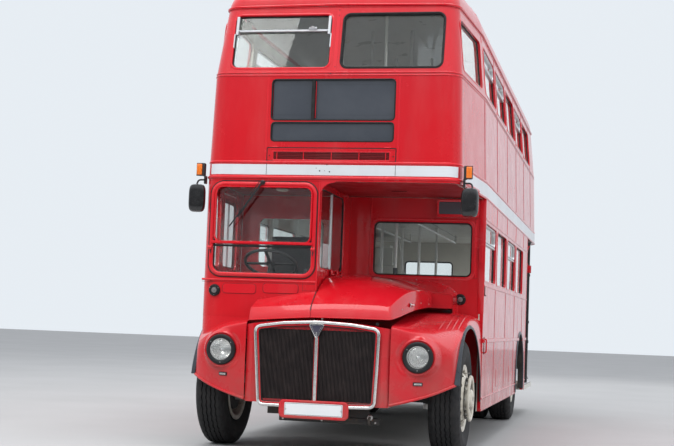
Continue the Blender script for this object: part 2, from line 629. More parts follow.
def rrect(cu, cv, w, h, r, n=7):
    """Rounded rectangle: points and outward directions in its own plane."""
    r = min(r, 0.499 * w, 0.499 * h)
    P, N = [], []
    for sx, sy, a0 in ((1, -1, -90), (1, 1, 0), (-1, 1, 90), (-1, -1, 180)):
        cx, cy = cu + sx * (w / 2 - r), cv + sy * (h / 2 - r)
        for t in np.linspace(a0, a0 + 90, n + 1):
            c, s = math.cos(rad(t)), math.sin(rad(t))
            P.append((cx + r * c, cy + r * s))
            N.append((c, s))
    return np.array(P), np.array(N)


def bar(a0, a1, b0, b1, r=0.003, n=3):
    """Outline of a flat bar with rounded edges: a across, b out of the surface."""
    P, _ = rrect((a0 + a1) / 2, (b0 + b1) / 2, abs(a1 - a0), abs(b1 - b0), r, n)
    return P


def half_round(w, h, n=9, sink=0.003):
    """Half-round moulding, w wide and h proud of the surface."""
    t = np.linspace(0, math.pi, n)
    pts = [(w / 2 * math.cos(a), h * math.sin(a)) for a in t]
    return np.array(pts + [(-w / 2, -sink), (w / 2, -sink)])


# ------------------------------------------------------------------ the body's outer skin
UPPER = [(2.350, 1.219, -3.920, 1.130, .150, 4.205, .300), (3.285, 1.188, -3.915, 1.102, .150, 4.195, .300),
         (3.927, 1.129, -3.780, 1.048, .150, 4.135, .300)]


def row(z):
    if z <= UPPER[0][0]:
        return UPPER[0][1:]
    for a, b in zip(UPPER, UPPER[1:]):
        if z <= b[0]:
            t = (z - a[0]) / (b[0] - a[0])
            return tuple(p + (q - p) * t for p, q in zip(a[1:], b[1:]))
    return UPPER[-1][1:]


def perim(z, d=0.0, n=8):
    """Plan of the body at z, d outside the skin, counter-clockwise from the middle of the nose: points, directions."""
    hw, yf, hwf, rf, yr, rr = row(z)
    V = np.array([(hwf, yf), (hw, BULK), (hw, yr), (-hw, yr), (-hw, BULK), (-hwf, yf)])
    R = [rf, 0, rr, rr, 0, rf]
    k = len(V)
    T = np.array([(V[(i + 1) % k] - V[i]) / np.linalg.norm(V[(i + 1) % k] - V[i]) for i in range(k)])
    N = np.stack([T[:, 1], -T[:, 0]], 1)
    pts, nrm = [(0.0, yf - d)], [(0.0, -1.0)]
    for i in range(k):
        n1, n2, t1, t2 = N[i - 1], N[i], T[i - 1], T[i]
        bis = (n1 + n2) / np.linalg.norm(n1 + n2)
        cosb = bis @ n1
        if R[i] <= 0:
            pts.append(V[i] + bis * d / cosb)
            nrm.append(bis / cosb)
            continue
        c = V[i] - bis * R[i] / cosb
        a1, a2 = math.atan2(n1[1], n1[0]), math.atan2(n2[1], n2[0])
        if a2 < a1:
            a2 += 2 * math.pi
        for a in np.linspace(a1, a2, n + 1):
            e = np.array((math.cos(a), math.sin(a)))
            pts.append(c + e * (R[i] + d))
            nrm.append(e)
    pts.append((0.0, yf - d))
    nrm.append((0.0, -1.0))
    return np.array(pts), np.array(nrm)


def part_of(z, a, b, d=0.0, n=8):
    """The stretch of the plan from near point a to near point b, counter-clockwise."""
    P, N = perim(z, d, n)
    S = np.concatenate([[0], np.cumsum(np.linalg.norm(np.diff(P, axis=0), axis=1))])

    def at(p):
        best = None
        for i in range(len(P) - 1):
            e = P[i + 1] - P[i]
            t = float(np.clip(((np.array(p) - P[i]) @ e) / max(e @ e, 1e-12), 0, 1))
            q = np.linalg.norm(P[i] + t * e - np.array(p))
            if best is None or q < best[0]:
                best = (q, S[i] + t * (S[i + 1] - S[i]))
        return best[1]
    sa, sb = at(a), at(b)
    total = S[-1]
    if sb <= sa:
        sb += total
    PP, NN, SS = np.concatenate([P[:-1], P]), np.concatenate([N[:-1], N]), np.concatenate([S[:-1], S + total])
    inner = [s for s in SS if sa + 1e-6 < s < sb - 1e-6]
    out_p, out_n = [], []
    for s in [sa] + inner + [sb]:
        i = min(max(int(np.searchsorted(SS, s, "right")) - 1, 0), len(SS) - 2)
        t = (s - SS[i]) / max(SS[i + 1] - SS[i], 1e-12)
        out_p.append(PP[i] + t * (PP[i + 1] - PP[i]))
        out_n.append(NN[i] + t * (NN[i + 1] - NN[i]))
    return np.array(out_p), np.array(out_n)


def belt(b, z, prof, a=None, c=None, mat=0, d=0.0, lift=None):
    """A moulding round the body at height z: prof is (up, out). a to c is its stretch, or all round without them."""
    if a is None:
        P, N = perim(z, d)
        P, N = P[:-1], N[:-1]
    else:
        P, N = part_of(z, a, c, d)
    n = len(P)
    z3 = np.full(n, z) if lift is None else np.array([z + lift(x, y) for x, y in P])
    P3 = np.column_stack([P, z3])
    O3 = np.column_stack([N, np.zeros(n)])
    U3 = np.tile((0, 0, 1.0), (n, 1))
    b.add(sweep(P3, U3, O3, prof, closed=a is None), mat)


def side_x(y, z):
    hw, yf, hwf, rf, yr, rr = row(z)
    if y >= BULK:
        return hw
    return hwf + (hw - hwf) * (y - yf) / (BULK - yf)


def on_side(side):
    def f(y, z):
        x = side_x(y, z)
        ey = np.array((side * (side_x(y + 1e-3, z) - x), 1e-3, 0.0))
        ez = np.array((side * (side_x(y, z + 1e-3) - x), 0.0, 1e-3))
        ey /= np.linalg.norm(ey)
        ez /= np.linalg.norm(ez)
        n = np.cross(ey, ez)
        n *= side * np.sign(n[0])
        return np.array((side * x, y, z)), ey, ez, n / np.linalg.norm(n)
    return f


def on_front(x, z):
    y = row(z)[1]
    dy = (row(z + 1e-3)[1] - y) / 1e-3
    ez = np.array((0, dy, 1.0)) / math.hypot(1, dy)
    return np.array((x, y, z)), np.array((1.0, 0, 0)), ez, np.array((0, -1.0, dy)) / math.hypot(1, dy)


def on_rear(x, z):
    y = row(z)[4]
    dy = (row(z + 1e-3)[4] - y) / 1e-3
    ez = np.array((0, dy, 1.0)) / math.hypot(1, dy)
    return np.array((x, y, z)), np.array((1.0, 0, 0)), ez, np.array((0, 1.0, -dy)) / math.hypot(1, dy)


def flat(y, out=-1):
    def f(x, z):
        return np.array((x, y, z)), np.array((1.0, 0, 0)), np.array((0, 0, 1.0)), np.array((0, float(out), 0))
    return f


def flat_x(x, out=1):
    def f(y, z):
        return np.array((x, y, z)), np.array((0, 1.0, 0)), np.array((0, 0, 1.0)), np.array((float(out), 0, 0))
    return f


def hoop(b, skin, cu, cv, w, h, r, prof, mat=0, n=7):
    """A frame round a rounded opening on a skin: prof is (outward in the plane, out of the surface)."""
    P2, N2 = rrect(cu, cv, w, h, r, n)
    P, A, B = [], [], []
    for (u, v), (nu, nv) in zip(P2, N2):
        p, eu, ev, nn = skin(u, v)
        P.append(p)
        A.append(eu * nu + ev * nv)
        B.append(nn)
    b.add(sweep(P, A, B, prof, closed=True), mat)


def patch(b, skin, cu, cv, w, h, r, b0, b1, mat=0, n=5, edge=0.0015):
    """A thin plate with rounded corners lying on a skin, from b0 to b1 out of it."""
    P2, N2 = rrect(cu, cv, w, h, r, n)
    ring = []
    for inset, off in ((0, b0), (0, b1 - edge), (edge, b1)):
        for (u, v), (nu, nv) in zip(P2, N2):
            p, eu, ev, nn = skin(u - nu * inset, v - nv * inset)
            ring.append(p + nn * off)
    k = len(P2)
    f = [tuple(range(k))[::-1], tuple(range(2 * k, 3 * k))]
    for a in (0, k):
        for i in range(k):
            j = (i + 1) % k
            f.append((a + i, a + j, a + k + j, a + k + i))
    b.add((np.array(ring), f), mat)


def rod(b, skin, u0, v0, u1, v1, prof, mat=0, n=2, off=0.0):
    """A straight moulding on a skin from (u0, v0) to (u1, v1): prof is (across, out)."""
    P, A, B = [], [], []
    L = math.hypot(u1 - u0, v1 - v0)
    du, dv = (u1 - u0) / L, (v1 - v0) / L
    for t in np.linspace(0, 1, n):
        p, eu, ev, nn = skin(u0 + (u1 - u0) * t, v0 + (v1 - v0) * t)
        P.append(p + nn * off)
        A.append(eu * -dv + ev * du)
        B.append(nn)
    b.add(sweep(P, A, B, prof), mat)


def dome(b, p, n, r, h, mat=0, seg=8):
    """A rivet or bolt head of radius r at p, facing n."""
    prof = [(-0.001, 0), (-0.001, r), (h * 0.45, r * 0.93), (h * 0.85, r * 0.6), (h, 0)]
    b.add(lathe(prof, p, n, seg, closed=False), mat)


def hexnut(b, p, n, r, h, mat=0, ref=None):
    prof = [(-0.001, 0), (-0.001, r), (h * 0.85, r), (h, r * 0.86), (h, 0)]
    b.add(lathe(prof, p, n, 6, ref=ref, closed=False), mat)


def subdivided(verts, faces, name, mats, body=BODY, levels=2, creases=(), thick=0.0, angle=50, replaces=(), slot=None,
               mat_of=None, offset=-1.0):
    """A smooth skin from a control cage, given a thickness. creases: ((i, j), sharpness)."""
    me = bpy.data.meshes.new(name + "_cage")
    me.from_pydata([tuple(map(float, v)) for v in verts], [], [tuple(map(int, f)) for f in faces])
    for m in mats:
        me.materials.append(M[m])
    if mat_of is not None:
        me.polygons.foreach_set("material_index", mat_of)
    if len(creases):
        want = {tuple(sorted(k)): s for k, s in creases}
        at = me.attributes.new("crease_edge", "FLOAT", "EDGE")
        vals = [want.get(tuple(sorted(e.vertices)), 0.0) for e in me.edges]
        at.data.foreach_set("value", vals)
    tmp = bpy.data.objects.new(name + "_tmp", me)
    bpy.context.scene.collection.objects.link(tmp)
    sub = tmp.modifiers.new("s", "SUBSURF")
    sub.levels = sub.render_levels = levels
    sub.boundary_smooth = "PRESERVE_CORNERS"
    if thick:
        so = tmp.modifiers.new("t", "SOLIDIFY")
        so.thickness = thick
        so.offset = offset
        so.use_even_offset = True
    out = applied(tmp)
    out.name = name
    return finish_mesh(out, name, body, angle, replaces)


def applied(tmp):
    """The object's mesh with its modifiers worked in. The object goes."""
    bpy.context.view_layer.update()
    dg = bpy.context.evaluated_depsgraph_get()
    me = bpy.data.meshes.new_from_object(tmp.evaluated_get(dg))
    old = tmp.data
    bpy.data.objects.remove(tmp)
    bpy.data.meshes.remove(old)
    return me


def rim_line(me, start, end):
    """Points of an open mesh's edge line from near start to near end, the shorter way."""
    bm = bmesh.new()
    bm.from_mesh(me)
    nxt = {}
    for e in bm.edges:
        if e.is_boundary:
            a, b = e.verts
            nxt.setdefault(a.index, []).append(b.index)
            nxt.setdefault(b.index, []).append(a.index)
    co = {v.index: np.array(v.co) for v in bm.verts if v.index in nxt}
    bm.free()
    ia = min(co, key=lambda i: np.linalg.norm(co[i] - np.array(start)))
    ib = min(co, key=lambda i: np.linalg.norm(co[i] - np.array(end)))
    best = None
    for first in nxt[ia]:
        path, prev, cur = [ia], ia, first
        while cur != ia and cur != ib and len(path) < 20000:
            path.append(cur)
            step = [k for k in nxt[cur] if k != prev]
            if not step:
                break
            prev, cur = cur, step[0]
        path.append(cur)
        if cur == ib:
            pts = np.array([co[i] for i in path])
            L = np.linalg.norm(np.diff(pts, axis=0), axis=1).sum()
            if best is None or L < best[0]:
                best = (L, pts)
    return best[1]


# ------------------------------------------------------------------ skins from cages and splines
def cage_mesh(name, verts, faces, mats, levels=3, creases=(), mat_of=None):
    """A smooth open skin from a control cage, as a mesh."""
    me = bpy.data.meshes.new(name)
    me.from_pydata([tuple(map(float, v)) for v in verts], [], [tuple(map(int, f)) for f in faces])
    for m in mats:
        me.materials.append(M[m])
    if mat_of is not None:
        me.polygons.foreach_set("material_index", mat_of)
    if len(creases):
        want = {}
        for (a, b), s in creases:
            want[(min(a, b), max(a, b))] = s
        at = me.attributes.new("crease_edge", "FLOAT", "EDGE")
        at.data.foreach_set("value", [want.get(tuple(sorted(e.vertices)), 0.0) for e in me.edges])
    tmp = bpy.data.objects.new(name + "_tmp", me)
    bpy.context.scene.collection.objects.link(tmp)
    sub = tmp.modifiers.new("s", "SUBSURF")
    sub.levels = sub.render_levels = levels
    sub.boundary_smooth = "PRESERVE_CORNERS"
    out = applied(tmp)
    out.name = name
    return out


def thickened(me, t, offset=-1.0):
    tmp = bpy.data.objects.new(me.name + "_t", me)
    bpy.context.scene.collection.objects.link(tmp)
    so = tmp.modifiers.new("t", "SOLIDIFY")
    so.thickness = t
    so.offset = offset
    so.use_even_offset = True
    so.thickness_clamp = 0.0
    return applied(tmp)


def get_co(me):
    co = np.empty(len(me.vertices) * 3)
    me.vertices.foreach_get("co", co)
    return co.reshape(-1, 3)


def set_co(me, co):
    me.vertices.foreach_set("co", np.ascontiguousarray(co, float).ravel())
    me.update()


def drop_faces(me, test):
    bm = bmesh.new()
    bm.from_mesh(me)
    dead = [f for f in bm.faces if test(f.calc_center_median())]
    bmesh.ops.delete(bm, geom=dead, context="FACES")
    bm.to_mesh(me)
    bm.free()


def joined(me, b, mats):
    """Puts the shells of b into mesh me, whose own materials come first."""
    extra = bpy.data.meshes.new(me.name + "_x")
    extra.from_pydata(np.concatenate(b.v).tolist(), [], b.f)
    base = len(me.materials)
    bm = bmesh.new()
    bm.from_mesh(extra)
    bmesh.ops.recalc_face_normals(bm, faces=bm.faces)
    bm.to_mesh(extra)
    bm.free()
    extra.polygons.foreach_set("material_index", [m + base for m in b.m])
    for m in mats:
        me.materials.append(M[m])
    bm = bmesh.new()
    bm.from_mesh(me)
    bm.from_mesh(extra)
    bm.to_mesh(me)
    bm.free()
    bpy.data.meshes.remove(extra)
    return me


def catmull(points, n=6):
    """A curve through the points, with no overshoot at close ones."""
    P = np.asarray(points, float)
    Q = np.vstack([2 * P[0] - P[1], P, 2 * P[-1] - P[-2]])
    out = []
    for i in range(1, len(Q) - 2):
        p0, p1, p2, p3 = Q[i - 1:i + 3]
        d1, d2, d3 = (max(np.linalg.norm(a - b), 1e-6) ** 0.5 for a, b in ((p1, p0), (p2, p1), (p3, p2)))
        m1 = (p1 - p0) / d1 - (p2 - p0) / (d1 + d2) + (p2 - p1) / d2
        m2 = (p2 - p1) / d2 - (p3 - p1) / (d2 + d3) + (p3 - p2) / d3
        m1, m2 = m1 * d2, m2 * d2
        for t in np.linspace(0, 1, n, endpoint=False):
            h1, h2, h3, h4 = 2 * t**3 - 3 * t**2 + 1, t**3 - 2 * t**2 + t, -2 * t**3 + 3 * t**2, t**3 - t**2
            out.append(h1 * p1 + h2 * m1 + h3 * p2 + h4 * m2)
    out.append(P[-1])
    return np.array(out)


def grid_mesh(name, rows, mats, flip=False):
    """Open skin from equal rows of points."""
    R = np.asarray(rows, float)
    n, m = R.shape[:2]
    faces = []
    for i in range(n - 1):
        for j in range(m - 1):
            q = (i * m + j, i * m + j + 1, (i + 1) * m + j + 1, (i + 1) * m + j)
            faces.append(q[::-1] if flip else q)
    me = bpy.data.meshes.new(name)
    me.from_pydata(R.reshape(-1, 3).tolist(), [], faces)
    for k in mats:
        me.materials.append(M[k])
    return me


def bvh_of(me):
    from mathutils.bvhtree import BVHTree
    bm = bmesh.new()
    bm.from_mesh(me)
    tree = BVHTree.FromBMesh(bm)
    bm.free()
    return tree


def laid(tree, points, direction, start):
    """Where rays from the points meet the skin: points and outward directions."""
    P, N = [], []
    d = Vector(direction)
    for p in points:
        hit, nrm, _, _ = tree.ray_cast(Vector(p) - d * start, d, start * 3)
        if hit is None:
            continue
        if nrm.dot(d) > 0:
            nrm = -nrm
        P.append(np.array(hit))
        N.append(np.array(nrm))
    return np.array(P), np.array(N)


def on_skin(b, P, N, prof, mat=0, closed=False):
    """A moulding along points of a skin: prof is (across, out)."""
    T = np.gradient(P, axis=0)
    T /= np.linalg.norm(T, axis=1)[:, None]
    A = np.cross(T, N)
    A /= np.linalg.norm(A, axis=1)[:, None]
    b.add(sweep(P, A, N, prof, closed), mat)


# ------------------------------------------------------------------ front wings
LAMP_X, LAMP_Z, LAMP_Y = 0.854, 0.866, FA - 0.780
WING = [
    [(.627, -.800, .460), (.735, -.772, .487), (.86, -.735, .523), (.98, -.690, .564), (1.06, -.652, .600),
     (1.118, -.605, .628), (1.138, -.580, .637), (1.146, -.566, .640)],
    [(.627, -.808, .60), (.735, -.782, .615), (.86, -.745, .635), (.98, -.700, .66), (1.065, -.655, .69),
     (1.123, -.603, .715), (1.142, -.570, .73), (1.149, -.534, .746)],
    [(.627, -.812, .84), (.735, -.79, .845), (.86, -.752, .85), (.98, -.705, .845), (1.068, -.655, .84),
     (1.127, -.595, .84), (1.147, -.545, .86), (1.155, -.446, .898)],
    [(.627, -.808, 1.02), (.735, -.786, 1.005), (.86, -.75, .985), (.98, -.70, .95), (1.065, -.655, .915),
     (1.124, -.595, .88), (1.148, -.52, .93), (1.160, -.355, .993)],
    [(.627, -.800, 1.106), (.735, -.777, 1.084), (.86, -.735, 1.053), (.98, -.685, 1.005), (1.06, -.640, .962),
     (1.118, -.580, .925), (1.152, -.47, .985), (1.165, -.265, 1.056)],
    [(.627, -.765, 1.124), (.735, -.735, 1.108), (.86, -.69, 1.083), (.98, -.63, 1.040), (1.065, -.57, 1.000),
     (1.125, -.49, .985), (1.158, -.39, 1.03), (1.170, -.186, 1.094)],
    [(.627, -.55, 1.150), (.735, -.53, 1.143), (.86, -.49, 1.128), (.98, -.43, 1.105), (1.07, -.36, 1.085),
     (1.130, -.28, 1.085), (1.168, -.20, 1.105), (1.178, -.07, 1.128)],
    [(.627, -.2, 1.20), (.74, -.18, 1.20), (.87, -.14, 1.195), (.99, -.08, 1.185), (1.08, 0, 1.175),
     (1.140, .03, 1.168), (1.178, .05, 1.155), (1.187, .05, 1.140)],
    [(.627, .2, 1.245), (.74, .2, 1.248), (.87, .22, 1.247), (1.0, .25, 1.242), (1.09, .28, 1.232),
     (1.150, .29, 1.218), (1.190, .28, 1.18), (1.200, .286, 1.094)],
    [(.627, .5, 1.256), (.74, .5, 1.260), (.87, .5, 1.260), (1.0, .5, 1.256), (1.1, .52, 1.246), (1.165, .53, 1.228),
     (1.203, .53, 1.17), (1.210, .533, .915)],
    [(.627, .763, 1.258), (.74, .763, 1.262), (.87, .763, 1.262), (1.0, .763, 1.258), (1.11, .763, 1.248),
     (1.175, .763, 1.228), (1.212, .763, 1.15), (1.214, .663, .673)],
    [(1.216, .763, .70), (1.216, .68, .50)],
    [(1.216, .763, .45), (1.216, .68, .45)],
]


def wing(side):
    tag = "nearside" if side > 0 else "offside"
    verts, index = [], {}
    for r, line in enumerate(WING):
        for c, (x, y, z) in enumerate(line):
            col = c if r < 11 else c + 6
            if side < 0 and r >= 5:
                z = min(z, 1.143)
            if side < 0 and r >= 8:
                x = min(x, 1.190 if c > 4 else x)
            index[r, col] = len(verts)
            verts.append((side * x, FA + y, z))
    faces = []
    for r in range(12):
        for c in range(7):
            if r >= 10 and c < 6:
                continue
            q = (index[r, c], index[r, c + 1], index[r + 1, c + 1], index[r + 1, c])
            faces.append(q if side > 0 else q[::-1])
    creases = [((index[4, c], index[4, c + 1]), 0.42) for c in range(6)]
    creases += [((index[r, 5], index[r + 1, 5]), 0.30) for r in range(4)]
    me = cage_mesh("front_wing_" + tag + "_skin", verts, faces, ["red_plain"], 4, creases)
    bottom = rim_line(me, verts[index[0, 0]], verts[index[0, 7]])
    arch = rim_line(me, verts[index[0, 7]], verts[index[12, 7]])
    # pressed seat for the headlamp
    co = get_co(me)
    rho = np.hypot(np.abs(co[:, 0]) - LAMP_X, co[:, 2] - LAMP_Z)
    front = co[:, 1] < FA - 0.5
    t = np.clip((0.190 - rho) / (0.190 - 0.139), 0, 1)
    t = t * t * (3 - 2 * t)
    bump = np.where(front, t, 0.0)
    co[:, 1] = co[:, 1] * (1 - bump) + (LAMP_Y + 0.010) * bump
    # a low raised rim just round the lamp
    lip = np.where(front, np.exp(-((rho - 0.147) / 0.008) ** 2), 0.0)
    co[:, 1] -= 0.010 * lip
    set_co(me, co)
    drop_faces(me, lambda c: math.hypot(abs(c.x) - LAMP_X, c.z - LAMP_Z) < 0.112 and c.y < FA - 0.5)
    tree = bvh_of(me)
    me = thickened(me, 0.004)
    b = Build()
    b.add(tube(bottom[::3] if len(bottom) > 60 else bottom, 0.0125, 12))
    # wide rubber flare round the arch
    P = arch[::2]
    A, B = [], []
    for p in P:
        edge = abs(p[0])
        w = max(1.180, edge + 0.010) - edge
        A.append((side * w, 0, 0))
        d = np.array((0, p[1] - (FA + 0.05), p[2] - 0.51))
        if p[2] < 0.51 and p[1] > FA:
            d = np.array((0, 1.0, 0))
        B.append(d / np.linalg.norm(d))
    prof = [(-0.15, -0.004), (0.35, -0.008), (0.75, -0.012), (0.92, -0.012), (1.04, -0.006), (1.08, 0.001), (1.03, 0.008),
            (0.88, 0.013), (0.6, 0.015), (0.25, 0.018), (-0.15, 0.021)]
    b.add(sweep(P, A, B, prof), 1)
    if side > 0:
        for x in (0.972, 1.020, 1.066, 1.108):
            ys = np.linspace(FA - 0.43 + (x - 0.972) * 1.4, FA + 0.64, 46)
            Q, N = laid(tree, [(x, y, 1.2) for y in ys], (0, 0, -1), 0.4)
            if len(Q) > 8:
                T = np.gradient(Q, axis=0)
                T /= np.linalg.norm(T, axis=1)[:, None]
                A2 = np.cross(T, N)
                A2 /= np.linalg.norm(A2, axis=1)[:, None]
                k = np.minimum(1.0, np.minimum(np.arange(len(Q)), np.arange(len(Q))[::-1]) / 3.0 + 0.05)
                b.add(sweep(Q, A2 * k[:, None], N * k[:, None], half_round(0.014, 0.0055, 7, 0.001)))
    # fixing bolts down the inner edge and a seam to the radiator surround
    for z in (0.55, 0.72, 0.90, 1.05):
        Q, N = laid(tree, [(side * 0.642, FA - 1.0, z)], (0, 1, 0), 0.5)
        for p, n in zip(Q, N):
            dome(b, p, n, 0.006, 0.003, 0)
    joined(me, b, ["red_plain", "bead", "steel"])
    # underside of the wing: black
    me.materials.append(M["chassis"])
    for f in me.polygons:
        dy, dz = f.center.y - FA, f.center.z - HUB
        if (f.material_index == 0 and math.hypot(dy, dz) < 0.75 and abs(f.center.x) > 0.85
                and f.normal.y * dy + f.normal.z * dz < -0.15 * math.hypot(dy, dz)):
            f.material_index = len(me.materials) - 1
    finish_mesh(me, me.name, BODY, 40, ("front_wing_" + tag,))


for s in (1, -1):
    wing(s)


# ------------------------------------------------------------------ bonnet lid
def corner_box(top, lip, side_mid, side_low, corner):
    """Cage of a lid: rows of top points, front lip rows (bottom, mid), a side skirt and the corner they share."""
    verts, idx = [], {}

    def put(key, p):
        idx[key] = len(verts)
        verts.append(p)
    n = len(top[0])
    for v, line in enumerate(top):
        for c, p in enumerate(line):
            put((v, c), p)
    for c in range(n - 1):
        put(("m", c), lip[1][c])
        put(("b", c), lip[0][c])
    put("cm", corner[1])
    put("cb", corner[0])
    for v in range(1, len(top)):
        put(("sm", v), side_mid[v - 1])
        put(("sb", v), side_low[v - 1])
    F = []
    for v in range(len(top) - 1):
        for c in range(n - 1):
            F.append((idx[v, c], idx[v, c + 1], idx[v + 1, c + 1], idx[v + 1, c]))
    for c in range(n - 1):
        m2 = idx["cm"] if c == n - 2 else idx["m", c + 1]
        b2 = idx["cb"] if c == n - 2 else idx["b", c + 1]
        F.append((idx["m", c], m2, idx[0, c + 1], idx[0, c]))
        F.append((idx["b", c], b2, m2, idx["m", c]))
    for v in range(len(top) - 1):
        m1 = idx["cm"] if v == 0 else idx["sm", v]
        b1 = idx["cb"] if v == 0 else idx["sb", v]
        m2, b2 = idx["sm", v + 1], idx["sb", v + 1]
        F.append((idx[v, n - 1], m1, m2, idx[v + 1, n - 1]))
        F.append((m1, b1, b2, m2))
    return verts, F, idx


BT_X = (-.074, .10, .30, .52)
BT = [(-.735, (1.278, 1.286, 1.288, 1.286), (.597, 1.277)), (-.62, (1.365, 1.369, 1.370, 1.362), (.632, 1.338)),
      (-.48, (1.442, 1.445, 1.447, 1.432), (.672, 1.392)), (-.30, (1.515, 1.518, 1.518, 1.488), (.716, 1.434)),
      (-.10, (1.552, 1.553, 1.551, 1.515), (.745, 1.448)), (.15, (1.566, 1.567, 1.564, 1.525), (.760, 1.446)),
      (.455, (1.575, 1.576, 1.572, 1.530), (.771, 1.436))]
top = [[(x, FA + y, z) for x, z in zip(BT_X, zs)] + [(sh[0], FA + y, sh[1])] for y, zs, sh in BT]
lip = ([(x, FA - .785, z) for x, z in zip(BT_X, (1.169, 1.171, 1.172, 1.172))],
       [(x, FA - .776, z) for x, z in zip(BT_X, (1.222, 1.226, 1.227, 1.226))])
side_mid = [(.655, FA - .62, 1.272), (.691, FA - .48, 1.314), (.726, FA - .30, 1.350), (.752, FA - .10, 1.366),
            (.767, FA + .15, 1.371), (.778, FA + .455, 1.373)]
side_low = [(.664, FA - .62, 1.202), (.697, FA - .48, 1.234), (.728, FA - .30, 1.263), (.750, FA - .10, 1.282),
            (.764, FA + .15, 1.296), (.776, FA + .455, 1.308)]
V, F, I = corner_box(top, lip, side_mid, side_low, ((.616, FA - .781, 1.172), (.610, FA - .770, 1.224)))
cr = [((I[0, c], I[0, c + 1]), .62) for c in range(4)] + [((I[v, 4], I[v + 1, 4]), .55) for v in range(6)]
cr += [((I[0, 4], I["cm"]), .35), ((I["cm"], I["cb"]), .35)]
me = cage_mesh("bonnet_lid", V, F, ["red_plain"], 4, cr)
tree = bvh_of(me)
edge = rim_line(me, V[I["b", 0]], V[I["sb", 6]])
me = thickened(me, 0.003)
b = Build()
b.add(tube(edge[::3], 0.0055, 8))
# hinge tubes along the cab
for y0, y1, zt in ((-.090, .010, 1.556), (.140, .240, 1.566), (.345, .445, 1.572)):
    b.add(lathe([(0, 0), (0, .0075), (y1 - y0, .0075), (y1 - y0, 0)], (-.072, FA + y0, 1.600), (0, 1, 0), 16,
                closed=False), 0)
    b.add(lim(-.0715, -.0635, FA + y0 + .002, FA + y1 - .002, zt - .004, 1.597, .002), 0)
    b.add(lim(-.071, -.020, FA + y0 + .002, FA + y1 - .002, zt - .002, zt + .004, .0015), 0)
    for yy in (y0 + .02, y1 - .02):
        dome(b, (-.045, FA + yy, zt + .004), (0, 0, 1), .006, .003, 0)
# stiffening swage along the lid
for x0, x1 in ((.02, .02),):
    ys = np.linspace(FA - .62, FA + .40, 40)
    Q, N = laid(tree, [(x0, y, 1.7) for y in ys], (0, 0, -1), 0.2)
# side catch: bright pull handle on a plate
Q, N = laid(tree, [(1.2, FA - .35, 1.305)], (-1, 0, 0), 0.4)
if len(Q):
    p, n = Q[0], N[0]
    b.add(box(p + n * .002, (.006, .110, .034), .002), 1)
    b.add(tube(rounded([p + n * .004 + (0, -.042, 0), p + n * .030 + (0, -.042, 0), p + n * .030 + (0, .042, 0),
                        p + n * .004 + (0, .042, 0)], .012), .0062, 10), 1)
for y in (-.56, -.05, .30):
    Q, N = laid(tree, [(1.2, FA + y, 1.262 if y < -.3 else 1.33)], (-1, 0, 0), 0.4)
    for p, n in zip(Q, N):
        dome(b, p, n, .007, .004, 2)
joined(me, b, ["red_plain", "chrome", "steel"])
finish_mesh(me, "bonnet_lid", "bonnet", 40, ("bonnet",))

# fixed cowl on the cab side
CX = (-.078, -.30, -.50)
top = [[(x, FA + y, z) for x, z in zip(CX, zs)] + [(-.619, FA + y, ze)]
       for y, zs, ze in ((-.735, (1.273, 1.260, 1.246), 1.235), (-.655, (1.338, 1.315, 1.286), 1.268),
                         (-.577, (1.393, 1.363, 1.325), 1.300))]
lip = ([(x, FA - .785, z) for x, z in zip(CX, (1.169, 1.153, 1.137))],
       [(x, FA - .775, z) for x, z in zip(CX, (1.221, 1.207, 1.191))])
V, F, I = corner_box(top, lip, [(-.628, FA - .655, 1.200), (-.630, FA - .577, 1.215)],
                     [(-.632, FA - .655, 1.135), (-.634, FA - .577, 1.140)],
                     ((-.620, FA - .779, 1.128), (-.622, FA - .765, 1.182)))
F = [f[::-1] for f in F]
cr = [((I[0, c], I[0, c + 1]), .6) for c in range(3)] + [((I[v, 3], I[v + 1, 3]), .5) for v in range(2)]
cr += [((I[0, 3], I["cm"]), .4), ((I["cm"], I["cb"]), .4)]
me = cage_mesh("bonnet_cowl_skin", V, F, ["red_plain"], 4, cr)
edge = rim_line(me, V[I["b", 0]], V[I["sb", 2]])
tree = bvh_of(me)
me = thickened(me, 0.003)
b = Build()
b.add(tube(edge[::2], 0.0055, 8))
Q, N = laid(tree, [(-.0820, y, 1.6) for y in np.linspace(FA - .768, FA - .580, 18)], (0, 0, -1), 0.8)
b.add(sweep(Q, np.tile((1.0, 0, 0), (len(Q), 1)), N,
            [(-.0034, -.0015), (-.0034, .0009), (.0034, .0009), (.0034, -.0015)]), 1)
joined(me, b, ["red_plain", "ring"])
finish_mesh(me, "bonnet_cowl_skin", BODY, 40, ("bonnet_cowl",))

# scuttle skin over the bulkhead's scuttle
SF = [(-.074, 1.575), (.10, 1.576), (.30, 1.572), (.52, 1.530), (.700, 1.458), (.771, 1.438), (.86, 1.434),
      (.930, 1.432), (.955, 1.424), (.965, 1.404), (.967, 1.330), (.967, 1.256)]
SR = [(-.074, 1.583), (.10, 1.584), (.30, 1.581), (.52, 1.568), (.712, 1.555), (.803, 1.536), (.862, 1.510),
      (.918, 1.478), (.950, 1.448), (.966, 1.415), (.968, 1.330), (.968, 1.256)]
A1 = catmull(SF, 7)
A2 = catmull(SR, 7)


def pushed(P, d):
    T = np.gradient(P, axis=0)
    T /= np.linalg.norm(T, axis=1)[:, None]
    return P + np.stack([-T[:, 1], T[:, 0]], 1) * d


